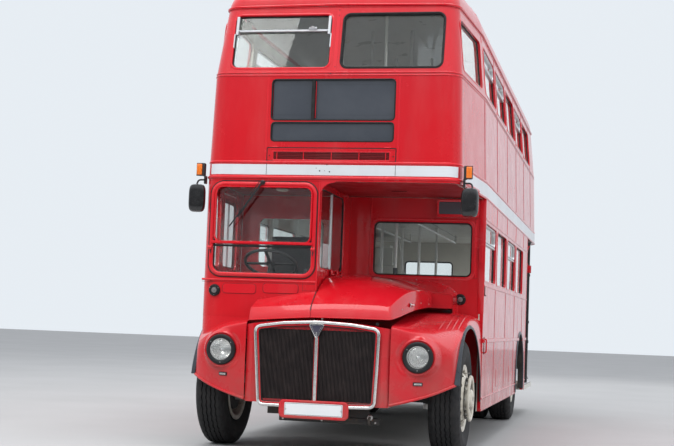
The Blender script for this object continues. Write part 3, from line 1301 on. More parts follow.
A1, A2 = pushed(A1, .0035), pushed(A2, .0035)
rows = []
for t in np.linspace(0, 1, 13):
    q = A1 * (1 - t) + A2 * t
    y = FA + .458 + t * (.765 - .458 - .001)
    rows.append([(x, y, z) for x, z in q])
me = grid_mesh("scuttle_skin", rows, ["red_plain"])
me = thickened(me, 0.003)
b = Build()
face = [(x, z) for x, z in A1 if x > .70] + [(.9665, 1.300), (.70, 1.300)]
n = len(face)
F3 = np.array([(x, FA + .4595, z - .002) for x, z in face] + [(x, FA + .4635, z - .002) for x, z in face])
b.add((F3, [tuple(range(n)), tuple(range(n, 2 * n))[::-1]] + [(i, i + n, (i + 1) % n + n, (i + 1) % n)
                                                              for i in range(n)]), 0)
P = np.array([(x, FA + .4590, z) for x, z in A1])
b.add(sweep(P, np.tile((0, -1.0, 0), (len(P), 1)), np.tile((0, 0, 1.0), (len(P), 1)), half_round(.010, .004, 7)), 0)
P = np.array([(x, FA + .7635, z) for x, z in A2])
T = np.gradient(P, axis=0)
T /= np.linalg.norm(T, axis=1)[:, None]
b.add(sweep(P, np.cross(T, (0, -1.0, 0)) * -1, np.tile((0, -1.0, 0), (len(P), 1)), half_round(.020, .007, 7)), 0)
for t in (.12, .3, .5, .7, .88):
    q = A2[int(t * (len(A2) - 1))]
    dome(b, (q[0], FA + .75, q[1]), (0, 0, 1), .006, .0035, 1)
joined(me, b, ["red_plain", "steel"])
finish_mesh(me, "scuttle_skin", BODY, 40)

# prop, catch post and rubber rests under the lid's front edge
b = Build()
b.add(tube([(.02, FA - .745, 1.118), (.02, FA - .745, 1.215)], .009, 12), 0)
b.add(lathe([(0, 0), (0, .019), (.008, .019), (.012, .010), (.012, 0)], (.02, FA - .745, 1.130), (0, 0, 1), 20,
            closed=False), 0)
for x in (-.45, -.2, .25, .50):
    b.add(lathe([(0, 0), (0, .014), (.020, .012), (.024, .006), (.024, 0)], (x, FA - .76, 1.120), (0, 0, 1), 16,
                closed=False), 1)
b.make("bonnet_rests", ["steel", "ring"])


# ------------------------------------------------------------------ radiator grille
FRONT = -1


def at_front(y):
    return flat(y, FRONT)


GY = FA - 0.842       # plane of the bright frame
outline_pts = [(-.486, .421), (-.512, .75), (-.538, 1.076), (-.30, 1.112), (0, 1.129), (.30, 1.115), (.534, 1.083),
               (.524, .76), (.511, .437), (.20, .426), (-.20, .421)]


def ring2d(points, r_at, n=7):
    """Closed outline with the given corners rounded."""
    P = [np.array(p, float) for p in points]
    out = []
    k = len(P)
    for i in range(k):
        a, b_, c = P[i - 1], P[i], P[(i + 1) % k]
        r = r_at.get(i, 0)
        if r <= 0:
            out.append(b_)
            continue
        u, v = a - b_, c - b_
        lu, lv = np.linalg.norm(u), np.linalg.norm(v)
        u, v = u / lu, v / lv
        ang = math.acos(max(-1, min(1, u @ v)))
        d = min(r / math.tan(ang / 2), 0.8 * lu, 0.8 * lv)
        p0, p1 = b_ + u * d, b_ + v * d
        for t in np.linspace(0, 1, n + 1):
            out.append((1 - t) ** 2 * p0 + 2 * t * (1 - t) * b_ + t * t * p1)
    return np.array(out)


def resample(P, step):
    P = np.vstack([P, P[:1]])
    S = np.concatenate([[0], np.cumsum(np.linalg.norm(np.diff(P, axis=0), axis=1))])
    n = max(8, int(S[-1] / step))
    s = np.linspace(0, S[-1], n, endpoint=False)
    return np.stack([np.interp(s, S, P[:, 0]), np.interp(s, S, P[:, 1])], 1)


def normals2d(P):
    T = np.roll(P, -1, 0) - np.roll(P, 1, 0)
    T /= np.linalg.norm(T, axis=1)[:, None]
    N = np.stack([T[:, 1], -T[:, 0]], 1)
    c = P.mean(0)
    if ((P - c) * N).sum() < 0:
        N = -N
    return N


R2 = resample(ring2d(outline_pts, {0: .055, 2: .060, 6: .060, 8: .055, 1: .9, 7: .9, 3: .6, 4: .6, 5: .6}), .012)
N2 = normals2d(R2)
b = Build()


def ring3(P2, N2, y, prof, mat):
    P = np.stack([P2[:, 0], np.full(len(P2), y), P2[:, 1]], 1)
    A = np.stack([N2[:, 0], np.zeros(len(P2)), N2[:, 1]], 1)
    b.add(sweep(P, A, np.tile((0, -1.0, 0), (len(P), 1)), prof, True), mat)


# bright frame, a thin red line inside it, the dark reveal and its back
ring3(R2, N2, GY, [(-.0145, -.004), (-.0145, .003), (-.012, .010), (-.007, .0145), (0, .0165), (.007, .0145),
                   (.012, .010), (.0145, .003), (.0145, -.004)], 0)
ring3(R2 - N2 * .0205, N2, GY, [(-.0055, -.004), (-.0055, .002), (-.003, .0045), (.003, .0045), (.0065, .001),
                                (.0065, -.004)], 3)
ring3(R2 - N2 * .0300, N2, GY, [(-.003, -.040), (-.003, -.004), (.0045, -.002), (.0045, -.040)], 2)
inner = R2 - N2 * .0315
# core: backing sheet, flattened tubes and cross fins
back = np.stack([inner[:, 0], np.full(len(inner), GY + .030), inner[:, 1]], 1)
k = len(back)
b.add((np.vstack([back, back + (0, .004, 0)]),
       [tuple(range(k)), tuple(range(k, 2 * k))[::-1]] + [(i, i + k, (i + 1) % k + k, (i + 1) % k) for i in range(k)]), 2)


def span_at(x):
    """Lowest and highest z of the inner outline at x."""
    zs = []
    for i in range(k):
        p, q = inner[i], inner[(i + 1) % k]
        if (p[0] - x) * (q[0] - x) <= 0 and p[0] != q[0]:
            zs.append(p[1] + (q[1] - p[1]) * (x - p[0]) / (q[0] - p[0]))
    return (min(zs), max(zs)) if len(zs) > 1 else None


rng = np.random.default_rng(7)
for x in np.arange(-.506, .507, .0115):
    if abs(x) < .016:
        continue
    s = span_at(x)
    if s and s[1] - s[0] > .05:
        j = rng.normal(0, .0004)
        b.add(lim(x - .0021 + j, x + .0021 + j, GY + .014, GY + .030, s[0] - .002, s[1] + .002), 1)
for z in np.arange(.445, 1.11, .0125):
    xs = [x for x in np.arange(-.52, .521, .006) if span_at(x) and span_at(x)[0] < z < span_at(x)[1]]
    if xs:
        b.add(lim(min(xs) - .004, max(xs) + .004, GY + .0205, GY + .0225, z - .0006, z + .0006), 1)
# centre bar, tapering, with a bead each side
P = np.array([(0, GY - .002, z) for z in np.linspace(.424, 1.045, 12)])
b.add(sweep(P, np.tile((1.0, 0, 0), (12, 1)), np.tile((0, -1.0, 0), (12, 1)),
            [(-.014, -.012), (-.014, .004), (-.008, .011), (0, .0145), (.008, .011), (.014, .004), (.014, -.012)]), 0)
for sx in (-1, 1):
    P = np.array([(sx * .0165, GY - .001, z) for z in (.424, 1.045)])
    b.add(tube(P, .0025, 8), 3)


# plain three-cornered badge: bright rim, dark enamel field, bright inner line
def tri(w, top, low, r):
    return resample(ring2d([(-w, top), (0, top + .004), (w, top), (0, low)], {0: r, 2: r, 3: r}, 6), .004)


T1 = tri(.066, 1.108, .985, .014)
TN = normals2d(T1)
ring3(T1, TN, GY - .012, [(-.0045, -.014), (-.0045, .004), (-.002, .0075), (.002, .0075), (.005, .003), (.005, -.014)], 0)
kk = len(T1)
fld = T1 - TN * .003
F3 = np.stack([fld[:, 0], np.full(kk, GY - .0145), fld[:, 1]], 1)
b.add((np.vstack([F3, F3 + (0, .012, 0)]),
       [tuple(range(kk)), tuple(range(kk, 2 * kk))[::-1]] + [(i, i + kk, (i + 1) % kk + kk, (i + 1) % kk)
                                                              for i in range(kk)]), 4)
T3 = tri(.046, 1.099, 1.012, .010)
ring3(T3, normals2d(T3), GY - .0140, [(-.0012, -.002), (-.0012, .0015), (.0012, .0015), (.0012, -.002)], 0)
for x, z in ((-.26, 1.1185), (.26, 1.1215), (-.524, .90), (.529, .90), (-.503, .62), (.517, .62)):
    dome(b, (x, GY - .0135, z), (0, -1, 0), .0045, .0016, 5)
b.make("radiator_grille_detail", ["chrome", "core", "ring", "red_trim", "badge", "steel"], angle=32,
       replaces=("radiator_grille",))

# ------------------------------------------------------------------ plate carrier with its blank plate
b = Build()
PY = FA - 0.8505
patch(b, at_front(PY + .006), 0, .396, .596, .152, .040, -.004, .006, 0, 8)
hoop(b, at_front(PY), 0, .396, .574, .130, .032, [(-.010, -.003), (-.010, .0115), (-.006, .0140), (.004, .0145),
                                                  (.0115, .0105), (.0125, -.003)], 0)
patch(b, at_front(PY), 0, .396, .560, .118, .020, -.004, .0105, 0)
patch(b, at_front(PY), 0, .397, .500, .104, .008, .0100, .0130, 1)
hoop(b, at_front(PY - .0128), 0, .397, .488, .092, .006, [(-.0012, -.001), (-.0012, .0007), (.0012, .0007),
                                                          (.0012, -.001)], 2)
for x in (-.24, .24):
    dome(b, (x, PY - .0128, .396), (0, -1, 0), .0080, .0045, 3, 12)
for x in (-.272, .272):
    for z in (.345, .447):
        dome(b, (x, PY - .0005, z), (0, -1, 0), .0055, .003, 0)
# brackets from the carrier to the front beam
for x in (-.16, .16):
    b.add(lim(x - .02, x + .02, PY + .008, FA - .70, .342, .350, .001), 4)
b.make("plate_carrier", ["red_trim", "plate", "ring", "steel", "chassis"], replaces=("number_plate",))


# ------------------------------------------------------------------ lamps
def headlamp(side):
    b = Build()
    c = (side * LAMP_X, LAMP_Y, LAMP_Z)
    ax = (0, -1.0, 0)
    # thick rubber ring
    b.add(lathe([(-.030, .1295), (-.004, .1315), (.004, .1290), (.010, .1235), (.0125, .115), (.0115, .106),
                 (.007, .099), (.0015, .0955), (-.008, .0950), (-.030, .0950)], c, ax, 96), 0)
    b.add(lathe([(.0085, .1205), (.0105, .1195), (.0105, .1215), (.0085, .1225)], c, ax, 96), 0)
    # bright rim
    b.add(lathe([(-.010, .0955), (.003, .0960), (.0065, .0930), (.0062, .0895), (.002, .0878), (-.010, .0878)],
                c, ax, 96), 1)
    # reflector bowl, an inner shell
    rs = np.linspace(0, .0875, 14)
    bowl = [(-.070 + .062 * (r / .0875) ** 2, r) for r in rs]
    outer = [(-.074 + .064 * (r / .0875) ** 2, r) for r in rs[::-1]]
    b.add(lathe(bowl + outer[:-1] + [(-.074, 0)], c, ax, 64, closed=False), 1)
    # bulb and its shield
    b.add(lathe([(-.066, 0), (-.066, .012), (-.048, .012), (-.044, .010), (-.030, .010), (-.024, .006), (-.022, 0)],
                c, ax, 24, closed=False), 2)
    b.add(lathe([(-.016, 0), (-.016, .016), (-.012, .0155), (-.009, .010), (-.008, 0)], c, ax, 32, closed=False), 1)
    for a in (90, 210, 330):
        d = np.array((math.cos(rad(a)), 0, math.sin(rad(a))))
        p = np.array(c) + np.array((0, .014, 0))
        b.add(tube([p + d * .014, p + d * .05 + (0, .008, 0), p + d * .082 + (0, .006, 0)], .0016, 6), 1)
    # domed clear glass
    front = [(.004 + .017 * (1 - (r / .088) ** 2) ** .8, r) for r in np.linspace(0, .0879, 12)]
    rear = [(.0015 + .015 * (1 - (r / .086) ** 2) ** .8, r) for r in np.linspace(.0875, 0, 12)]
    b.add(lathe([(a, q) for a, q in front] + [(a, q) for a, q in rear], c, ax, 96, closed=False), 3)
    # moulded ribs on the glass
    for x in np.linspace(-.066, .066, 12):
        zs = np.linspace(-1, 1, 16) * math.sqrt(max(.080 ** 2 - x ** 2, 1e-5))
        P = np.array([(c[0] + x, c[1] - (.0025 + .015 * max(1 - (x * x + z * z) / .086 ** 2, 0) ** .8), c[2] + z)
                      for z in zs])
        b.add(tube(P, .0011, 6), 3)
    for a in (35, 145, 270):
        p = np.array(c) + np.array((math.cos(rad(a)) * .1095, -.0118, math.sin(rad(a)) * .1095))
        dome(b, p, ax, .0042, .0022, 4)
    # slot lamp below
    x0, z0 = (0.855, .645) if side > 0 else (-.834, .658)
    return b, (x0, z0)


def slot_lamp(b, side, x0, z0, tree_pts):
    p, n = tree_pts
    n = n / np.linalg.norm(n)
    u = np.cross(n, (0, 0, 1.0))
    u = u / np.linalg.norm(u)
    if u[0] < 0:
        u = -u
    v = np.cross(n, u)
    if v[2] < 0:
        v = -v
    R = np.stack([u, n, v], 1)

    def put(shape, mat):
        V, F = shape
        b.add((np.asarray(V) @ R.T + p, F), mat)
    put(box((0, .002, 0), (.082, .010, .030), .004), 0)
    put(box((0, .0075, 0), (.064, .006, .015), .0025), 1)
    put(box((0, .0105, 0), (.046, .004, .009), .0018), 4)


wing_trees = {}
for s, tag in ((1, "nearside"), (-1, "offside")):
    ob = [o for o in bpy.data.objects if o.name.startswith("front_wing_%s_skin" % tag)][0]
    wing_trees[s] = bvh_of(ob.data)
for s, tag in ((1, "nearside"), (-1, "offside")):
    b, (x0, z0) = headlamp(s)
    Q, N = laid(wing_trees[s], [(x0, FA - 1.0, z0)], (0, 1, 0), 0.5)
    slot_lamp(b, s, x0, z0, (Q[0], N[0]))
    # side lamp: on the cab front, and on the bulkhead
    c = (-1.000, CABF, 1.376) if s < 0 else (1.000, BULK, 1.391)
    ax = (0, -1.0, 0)
    b.add(lathe([(-.004, .0520), (.005, .0525), (.013, .0500), (.019, .0450), (.0205, .0390), (.018, .0325), (-.004, .0325)],
                c, ax, 64), 0)
    b.add(lathe([(.002, .0335), (.0195, .0335), (.0220, .0305), (.0205, .0275), (.002, .0275)], c, ax, 64), 0)
    b.add(lathe([(.004, 0), (.004, .0280), (.012, .0280), (.0190, .0235), (.0225, .014), (.0235, 0)], c, ax, 48,
                closed=False), 5)
    b.add(lathe([(.0230, 0), (.0230, .008), (.0245, .0075), (.025, 0)], c, ax, 20, closed=False), 5)
    for a in (30, 150, 270):
        p = np.array(c) + np.array((math.cos(rad(a)) * .0430, -.0190, math.sin(rad(a)) * .0430))
        dome(b, p, ax, .003, .0018, 4)
    b.make("front_lamps_" + tag, ["ring", "chrome", "plate", "lampglass", "steel", "sidelens"], angle=35,
           replaces=("front_lamps",) if s > 0 else (), slot=None)


# ------------------------------------------------------------------ flasher lamps at the upper deck's front corners
def flasher(side):
    b = Build()
    x0 = side * (1.155 if side > 0 else 1.155)
    y0 = FA - .505
    z0 = 2.447
    # base plate on the side, bracket, housing, lens facing forward and a smaller one to the rear
    b.add(box((side * 1.172, y0 + .006, z0), (.030, .050, .118), .010, 3), 0)
    b.add(box((side * 1.205, y0 + .003, z0), (.056, .040, .112), .012, 3), 0)
    for k in (-1, 1):
        V, F = box((0, 0, 0), (.048, .016, .098), .0055, 3)
        b.add((np.asarray(V) + (side * 1.205, y0 + (-.024 if k < 0 else .030), z0), F), 1)
        for dz in np.linspace(-.036, .036, 9):
            b.add(lim(side * 1.205 - .019, side * 1.205 + .019, y0 + (-.0330 if k < 0 else .0375),
                      y0 + (-.031 if k < 0 else .0395), z0 + dz - .0014, z0 + dz + .0014, .0006, 1), 1)
        for dz in (-.053, .053):
            dome(b, (side * 1.205, y0 + (-.0175 if k < 0 else .0235), z0 + dz), (0, k, 0), .0035, .002, 2)
    b.add(box((side * 1.205, y0 - .0165, z0), (.058, .006, .116), .0028, 2), 0)
    for dz in (-.046, .046):
        dome(b, (side * 1.1885, y0 + .006, z0 + dz), (side, 0, 0), .004, .0025, 2)
    return b


bb = flasher(1)
b2 = flasher(-1)
bb.add((np.concatenate(b2.v), b2.f), 0)
bb.m[-len(b2.f):] = b2.m
bb.make("indicator_lamps", ["plastic", "amber", "steel"], angle=35, replaces=("indicators",))


# ------------------------------------------------------------------ mirrors
def superellipse(w, h, p, n=48):
    t = np.linspace(0, 2 * math.pi, n, endpoint=False)
    c, s = np.cos(t), np.sin(t)
    return np.stack([w * np.sign(c) * np.abs(c) ** (2 / p), h * np.sign(s) * np.abs(s) ** (2 / p)], 1)


def mirror(b, c, w, h, depth, yaw, foot, arm):
    """Rounded shell with its glass to the rear, and a bent arm from its foot."""
    R = np.array(Matrix.Rotation(rad(yaw), 3, "Z"))
    rings = []
    for y, k in ((.0, .72), (-.0, .72), (-.006, .86), (-.016, .955), (-.030, 1.0), (-.046, .995)):
        pass
    lay = [(-depth, .55), (-depth * .97, .74), (-depth * .86, .88), (-depth * .62, .965), (-depth * .30, 1.0),
           (0, 1.0), (.004, .985), (.004, .94), (-.004, .925)]
    n = 48
    V, F = [], []
    for y, k in lay:
        S = superellipse(w / 2 * k + (0 if k > .9 else 0), h / 2 * (k if k > .9 else k * 1.06), 4.2, n)
        for x, z in S:
            V.append((x, y, z))
    m = len(lay)
    for i in range(m - 1):
        for j in range(n):
            q = (j + 1) % n
            F.append((i * n + j, i * n + q, (i + 1) * n + q, (i + 1) * n + j))
    F.append(tuple(range(n))[::-1])
    F.append(tuple(range((m - 1) * n, m * n)))
    b.add((np.array(V) @ R.T + c, F), 0)
    S = superellipse(w / 2 * .93, h / 2 * .935, 4.2, n)
    G = np.vstack([[(x, -.002, z) for x, z in S], [(x, .0015, z) for x, z in S]])
    b.add((G @ R.T + c, [tuple(range(n))[::-1], tuple(range(n, 2 * n))] +
           [(j, (j + 1) % n, (j + 1) % n + n, j + n) for j in range(n)]), 1)
    b.add(tube(rounded(arm, .03, 6), .0078, 12), 0)
    # clamp and ball joint on the shell
    e = np.array(arm[-1])
    b.add(lathe([(-.014, 0), (-.014, .010), (-.008, .0145), (.008, .0145), (.014, .010), (.014, 0)], e, (0, 0, 1), 20,
                closed=False), 0)
    b.add(box(foot, (.020, .050, .074), .006, 3), 0)
    for dz in (-.024, .024):
        dome(b, (foot[0] + math.copysign(.010, foot[0]), foot[1], foot[2] + dz), (math.copysign(1, foot[0]), 0, 0),
             .005, .003, 2)


b = Build()
mirror(b, (1.220, FA - .515, 2.190), .150, .250, .055, -14, (1.162, FA - .490, 2.357),
       [(1.166, FA - .490, 2.357), (1.225, FA - .490, 2.357), (1.238, FA - .505, 2.300), (1.236, FA - .510, 2.262)])
b.add(box((1.232, FA - .512, 2.245), (.034, .026, .050), .007, 3), 0)
mirror(b, (-1.219, FA - .515, 2.190), .150, .250, .055, 14, (-1.156, FA - .490, 2.357),
       [(-1.160, FA - .490, 2.357), (-1.222, FA - .490, 2.357), (-1.238, FA - .505, 2.300), (-1.236, FA - .510, 2.262)])
b.add(box((-1.232, FA - .512, 2.245), (.034, .026, .050), .007, 3), 0)
b.make("mirror_set", ["mirrorshell", "mirror", "steel"], angle=45, replaces=("mirrors",))


# ------------------------------------------------------------------ mouldings, seams and rivets of the body
def strip(w, h, sink=.0015, e=.0012):
    return [(-w / 2, -sink), (-w / 2, h - e), (-w / 2 + e, h), (w / 2 - e, h), (w / 2, h - e), (w / 2, -sink)]


NS, OS = 1.219, -1.219
b = Build()
# white band: front, then the rest of the way round
belt(b, 2.447, strip(.092, .0022), (-1.115, -3.905), (1.140, -3.885), 1)
belt(b, 2.430, strip(.122, .0022), (1.15, -3.70), (-1.15, -3.70), 1)
# bead above the band, double bead below it
belt(b, 2.5125, half_round(.024, .007), mat=0)
belt(b, 2.379, half_round(.030, .012), (-1.20, -3.0), (1.20, -3.0), 0)
belt(b, 2.357, half_round(.022, .009), (1.20, -3.0), (-1.20, -3.0), 0)
belt(b, 3.283, half_round(.012, .0055), mat=0)
belt(b, 3.309, half_round(.014, .0060), mat=0)
belt(b, 3.2965, strip(.004, .0006), mat=2)
# rain gutter with its low peak over the front windows
belt(b, 3.924, [(-.008, -.002), (-.009, .010), (-.004, .0155), (.008, .0165), (.012, .013), (.010, .006), (.014, -.002)],
     mat=0, lift=lambda x, y: .015 * (1 - abs(x) / 1.05) if y < -3.7 else 0.0)
belt(b, 3.908, half_round(.010, .004), mat=0, lift=lambda x, y: .015 * (1 - abs(x) / 1.05) if y < -3.7 else 0.0)


def lower_belt(z, prof, gap=0.0, mat=0, cab=True):
    """Along both sides and the rear of the lower deck, broken at the rear wheel openings by gap each side of the axle."""
    cuts = [(BULK + .003, RA - gap), (RA + gap, PLATF - .003)] if gap else [(BULK + .003, PLATF - .003)]
    for y0, y1 in cuts:
        belt(b, z, prof, (NS, y0), (NS, y1), mat)
    if gap:
        belt(b, z, prof, (.395, 4.205), (OS, RA + gap), mat)
        belt(b, z, prof, (OS, RA - gap), (OS, BULK + .003), mat)
    else:
        belt(b, z, prof, (.395, 4.205), (OS, BULK + .003), mat)


lower_belt(1.011, [(-.020, -.001), (-.020, .006), (-.015, .013), (.015, .013), (.020, .006), (.020, -.001)], .275)
lower_belt(.472, half_round(.020, .008), .570)
lower_belt(1.531, half_round(.018, .0075))
lower_belt(2.162, half_round(.016, .0065))
lower_belt(.366, strip(.024, .003), .570)

# upright seam covers
SEAMS = [.70, 1.86, 3.01, 4.165, 5.32, 6.475]
for side in (1, -1):
    sk = on_side(side)
    for k, y in enumerate(SEAMS):
        Y = FA + y
        rod(b, sk, Y, 2.526, Y, 3.276, strip(.024, .0026), 0)
        if k > 0:
            rod(b, sk, Y, 3.318, Y, 3.352, strip(.024, .0026), 0)
        rod(b, sk, Y, 3.836, Y, 3.905, strip(.024, .0026), 0)
        if Y > BULK + .05 and (side < 0 or Y < PLATF - .05) and Y < RSPLIT:
            rod(b, sk, Y, 2.172, Y, 2.348, strip(.024, .0026), 0)
            low = 1.09 if abs(Y - RA) < .58 else 1.034
            rod(b, sk, Y, low, Y, 1.521, strip(.024, .0026), 0)
            if abs(Y - RA) > .60:
                rod(b, sk, Y, .485, Y, .990, strip(.024, .0026), 0)
            for z in np.arange(low + .03, 1.50, .085):
                for d in (-.0075, .0075):
                    p, _, _, n = sk(Y + d, z)
                    dome(b, p + n * .0025, n, .0022, .0012, 0, 6)
        for d in (-.0130, .0130):
            rod(b, sk, Y + d, 2.526, Y + d, 3.276, strip(.0024, .0010), 2)
            if Y > BULK + .05 and (side < 0 or Y < PLATF - .05) and Y < RSPLIT:
                rod(b, sk, Y + d, 1.09 if abs(Y - RA) < .58 else 1.034, Y + d, 1.521, strip(.0024, .0010), 2)
        for z in np.arange(2.56, 3.26, .085):
            for d in (-.0075, .0075):
                p, _, _, n = sk(Y + d, z)
                dome(b, p + n * .0025, n, .0022, .0012, 0, 6)
    # rivets of the rub strip
    for Y in np.arange(BULK + .12, PLATF if side > 0 else RSPLIT, .23):
        if abs(Y - RA) > .30:
            p, _, _, n = sk(Y, 1.011)
            dome(b, p + n * .0125, n, .005, .002, 3, 8)
# seams of the front upper panels: upright covers beside the blind boxes and over the windows
for x in (-.588, .588):
    rod(b, on_front, x, 2.526, x, 3.274, strip(.020, .0022), 0)
    for z in np.arange(2.56, 3.26, .095):
        p, _, _, n = on_front(x, z)
        dome(b, p + n * .002, n, .0022, .0012, 0, 6)
rod(b, on_front, 0, 3.320, 0, 3.905, strip(.034, .0030), 0)
for z in (3.36, 3.84, 3.885, 3.895):
    p, _, _, n = on_front(.004, z)
    dome(b, p + n * .003, n, .0045, .0025, 2, 8)
p, _, _, n = on_front(-.03, 3.296)
dome(b, p + n * .005, n, .006, .003, 2, 8)
# rear: seams beside the windows
for x in (-.70, .70):
    rod(b, on_rear, x, 2.526, x, 3.276, strip(.022, .0024), 0)
    rod(b, on_rear, x, 3.318, x, 3.905, strip(.022, .0024), 0)
# the corner of the bulkhead and the nearside panel, and the rear ends of the panels
b.add(lim(1.163, 1.2215, BULK - .0045, BULK + .024, 1.262, 2.347, .003), 0)
b.add(lim(1.190, 1.2215, PLATF - .030, PLATF + .004, .356, 2.347, .004), 0)
b.add(lim(.372, .404, 4.168, 4.209, .356, 2.347, .005), 0)
# trim at the foot of the nearside front pillar, and the handle in its slot
sk = on_side(1)
for p0, p1, q in (((FA + .835, 1.436), (FA + .835, 1.526), .012), ((FA + .835, 1.440), (FA + .935, 1.440), .010)):
    rod(b, sk, p0[0], p0[1], p1[0], p1[1], strip(q, .006), 2)
patch(b, sk, FA + .905, .965, .040, .165, .015, -.001, .003, 2)
b.add(tube(rounded([(1.224, FA + .905, .895), (1.242, FA + .905, .905), (1.242, FA + .905, 1.020),
                    (1.224, FA + .905, 1.032)], .012), .007, 10), 0)
patch(b, flat(BULK - .0035), 1.182, 1.817, .030, .150, .008, 0, .012, 0)
# small plates with lifting eyes low on the sides
for Y in (FA + 2.2, FA + 3.7):
    for side in (1, -1):
        patch(b, on_side(side), Y, .62, .16, .18, .012, 0, .0022, 0)
        for dy in (-.065, .065):
            for dz in (-.075, .075):
                p, _, _, n = on_side(side)(Y + dy, .62 + dz)
                dome(b, p + n * .002, n, .004, .002, 3, 8)
b.make("body_mouldings", ["red_trim", "white", "rubber", "steel"], angle=40)

# ------------------------------------------------------------------ side windows
GASKET = [(-.011, -.030), (-.011, -.022), (-.008, -.0190), (-.002, -.019), (.002, -.022), (.002, -.030)]
HOPPER = [(-.005, -.0275), (-.005, -.010), (-.003, -.0075), (.004, -.0075), (.006, -.010), (.006, -.0275)]
LWIN = [(770, 1790, 1), (1930, 2945, 0), (3080, 4100, 1), (4240, 5250, 0)]
UWIN = [(-360, 600, 0), (770, 1790, 1), (1930, 2945, 1), (3080, 4100, 0), (4240, 5250, 1), (5390, 6500, 0)]
b = Build()
for side in (1, -1):
    sk = on_side(side)
    for wins, z0, z1, drop in ((LWIN, 1.575, 2.125, .185), (UWIN, 3.362, 3.818, .158)):
        for y0, y1, hop in wins:
            Y0, Y1 = FA + y0 / 1000, FA + y1 / 1000
            cy, w = (Y0 + Y1) / 2, Y1 - Y0
            hoop(b, sk, cy, (z0 + z1) / 2, w, z1 - z0, .060, GASKET, 0, 6)
            # painted reveal and outer lip of the opening
            hoop(b, sk, cy, (z0 + z1) / 2, w, z1 - z0, .060, [(-.0015, -.028), (-.0015, .001), (.001, .001), (.001, -.028)], 2, 6)
            hoop(b, sk, cy, (z0 + z1) / 2, w, z1 - z0, .060, [(-.0045, -.018), (-.0045, .0025), (-.001, .0045),
                                                              (.006, .004), (.009, .0005), (.009, -.002)], 2, 6)
            if hop:
                zb = z1 - drop
                hoop(b, sk, cy, (zb + z1) / 2 - .002, w - .034, z1 - zb - .030, .038, HOPPER, 1, 6)
                rod(b, sk, cy - w / 2 + .012, zb - .006, cy + w / 2 - .012, zb - .006,
                    [(-.010, -.028), (-.010, -.012), (-.007, -.0085), (.006, -.0085), (.009, -.012), (.009, -.028)], 1)
                rod(b, sk, cy - w / 2 + .014, zb + .0065, cy + w / 2 - .014, zb + .0065, strip(.005, .002), 0, off=-.012)
                for dy in (-.16, .16):
                    p, ey, ez, n = sk(cy + dy, zb + .012)
                    q, _, _, _ = sk(cy + dy + .001, zb + .012)
                    b.add((np.asarray(lim(-.004, .004, -.028, .028, -.006, .006, .002)[0]) + p - n * .046, lim(
                        -.004, .004, -.028, .028, -.006, .006, .002)[1]), 1)
b.make("side_window_frames", ["rubber", "alu", "red_trim"], angle=40)

# ------------------------------------------------------------------ upper front windows, blind boxes, vent panel
b = Build()
# nearside window: black gasket
hoop(b, on_front, .499, 3.603, .898, .502, .062,
     [(-.014, -.030), (-.014, -.012), (-.010, .001), (-.005, .0065), (.003, .0075), (.008, .005), (.010, .0005),
      (.010, -.002), (.002, -.004), (-.004, -.030)], 0, 9)
hoop(b, on_front, .499, 3.603, .898, .502, .062, [(-.0040, .0055), (-.0020, .0084), (.0000, .0055)], 0, 9)
# offside window: red surround, bright guides and the bar of the opening sash with its catch
hoop(b, on_front, -.499, 3.603, .898, .502, .062,
     [(-.006, -.022), (-.006, .002), (-.001, .004), (.010, .0035), (.014, .0005), (.014, -.002)], 2, 9)
hoop(b, on_front, -.499, 3.603, .884, .488, .055, [(-.010, -.030), (-.010, -.022), (-.002, -.0195), (.003, -.024),
                                                  (.003, -.030)], 0, 9)
for x in (-.921, -.077):
    rod(b, on_front, x, 3.665, x, 3.835, [(-.013, -.022), (-.013, .006), (-.009, .010), (.009, .010), (.013, .006),
                                         (.013, -.022)], 1)
for x in (-.940, -.058):
    rod(b, on_front, x, 3.545, x, 3.672, [(-.005, -.010), (-.005, .0055), (.005, .0055), (.005, -.010)], 1)
rod(b, on_front, -.912, 3.705, -.086, 3.705, [(-.010, -.024), (-.010, -.006), (-.007, -.002), (.007, -.002),
                                              (.010, -.006), (.010, -.024)], 1)
p, _, _, n = on_front(-.225, 3.716)
b.add(box(p + n * .006, (.075, .016, .022), .004, 3), 1)
b.add(tube(rounded([p + n * .010 + (-.022, 0, .004), p + n * .024 + (0, 0, .016), p + n * .010 + (.022, 0, .004)], .01),
           .0045, 8), 1)
for x in (-.905, -.093):
    p, _, _, n = on_front(x, 3.705)
    dome(b, p + n * .001, n, .005, .003, 1, 8)
# upper box: black frame, two blinds behind glass with a division
DARK = [(-.004, -.018), (-.004, -.002), (-.002, .003), (.001, .006), (.005, .005), (.0085, .001), (.0085, -.003)]
hoop(b, on_front, 0, 3.067, 1.096, .354, .034, DARK, 0, 8)
rod(b, on_front, -.1765, 2.893, -.1765, 3.241, [(-.016, -.018), (-.016, -.003), (-.011, .003), (.011, .003),
                                               (.016, -.003), (.016, -.018)], 0)
rod(b, on_front, -.153, 2.905, -.153, 3.230, strip(.0030, .002, .012), 2)
patch(b, flat(CABF + .0222), -.363, 3.067, .356, .350, .004, -.0005, .0030, 3)
patch(b, flat(CABF + .0222), .190, 3.067, .716, .350, .004, -.0005, .0030, 3)
# lower box
hoop(b, on_front, 0, 2.783, 1.086, .160, .030, DARK, 0, 8)
patch(b, flat(CABF + .0222), 0, 2.783, 1.084, .158, .004, -.0005, .0080, 3)
# slow folds and a join line of the blinds behind their glass
for z, x0, x1 in ((2.935, -.53, -.205), (3.200, -.53, -.205), (2.935, -.145, .53), (3.200, -.145, .53), (2.733, -.51, .51)):
    rod(b, flat(CABF + (.0192 if z > 2.9 else .0145)), x0, z, x1, z, strip(.0022, .0006, .001), 0)
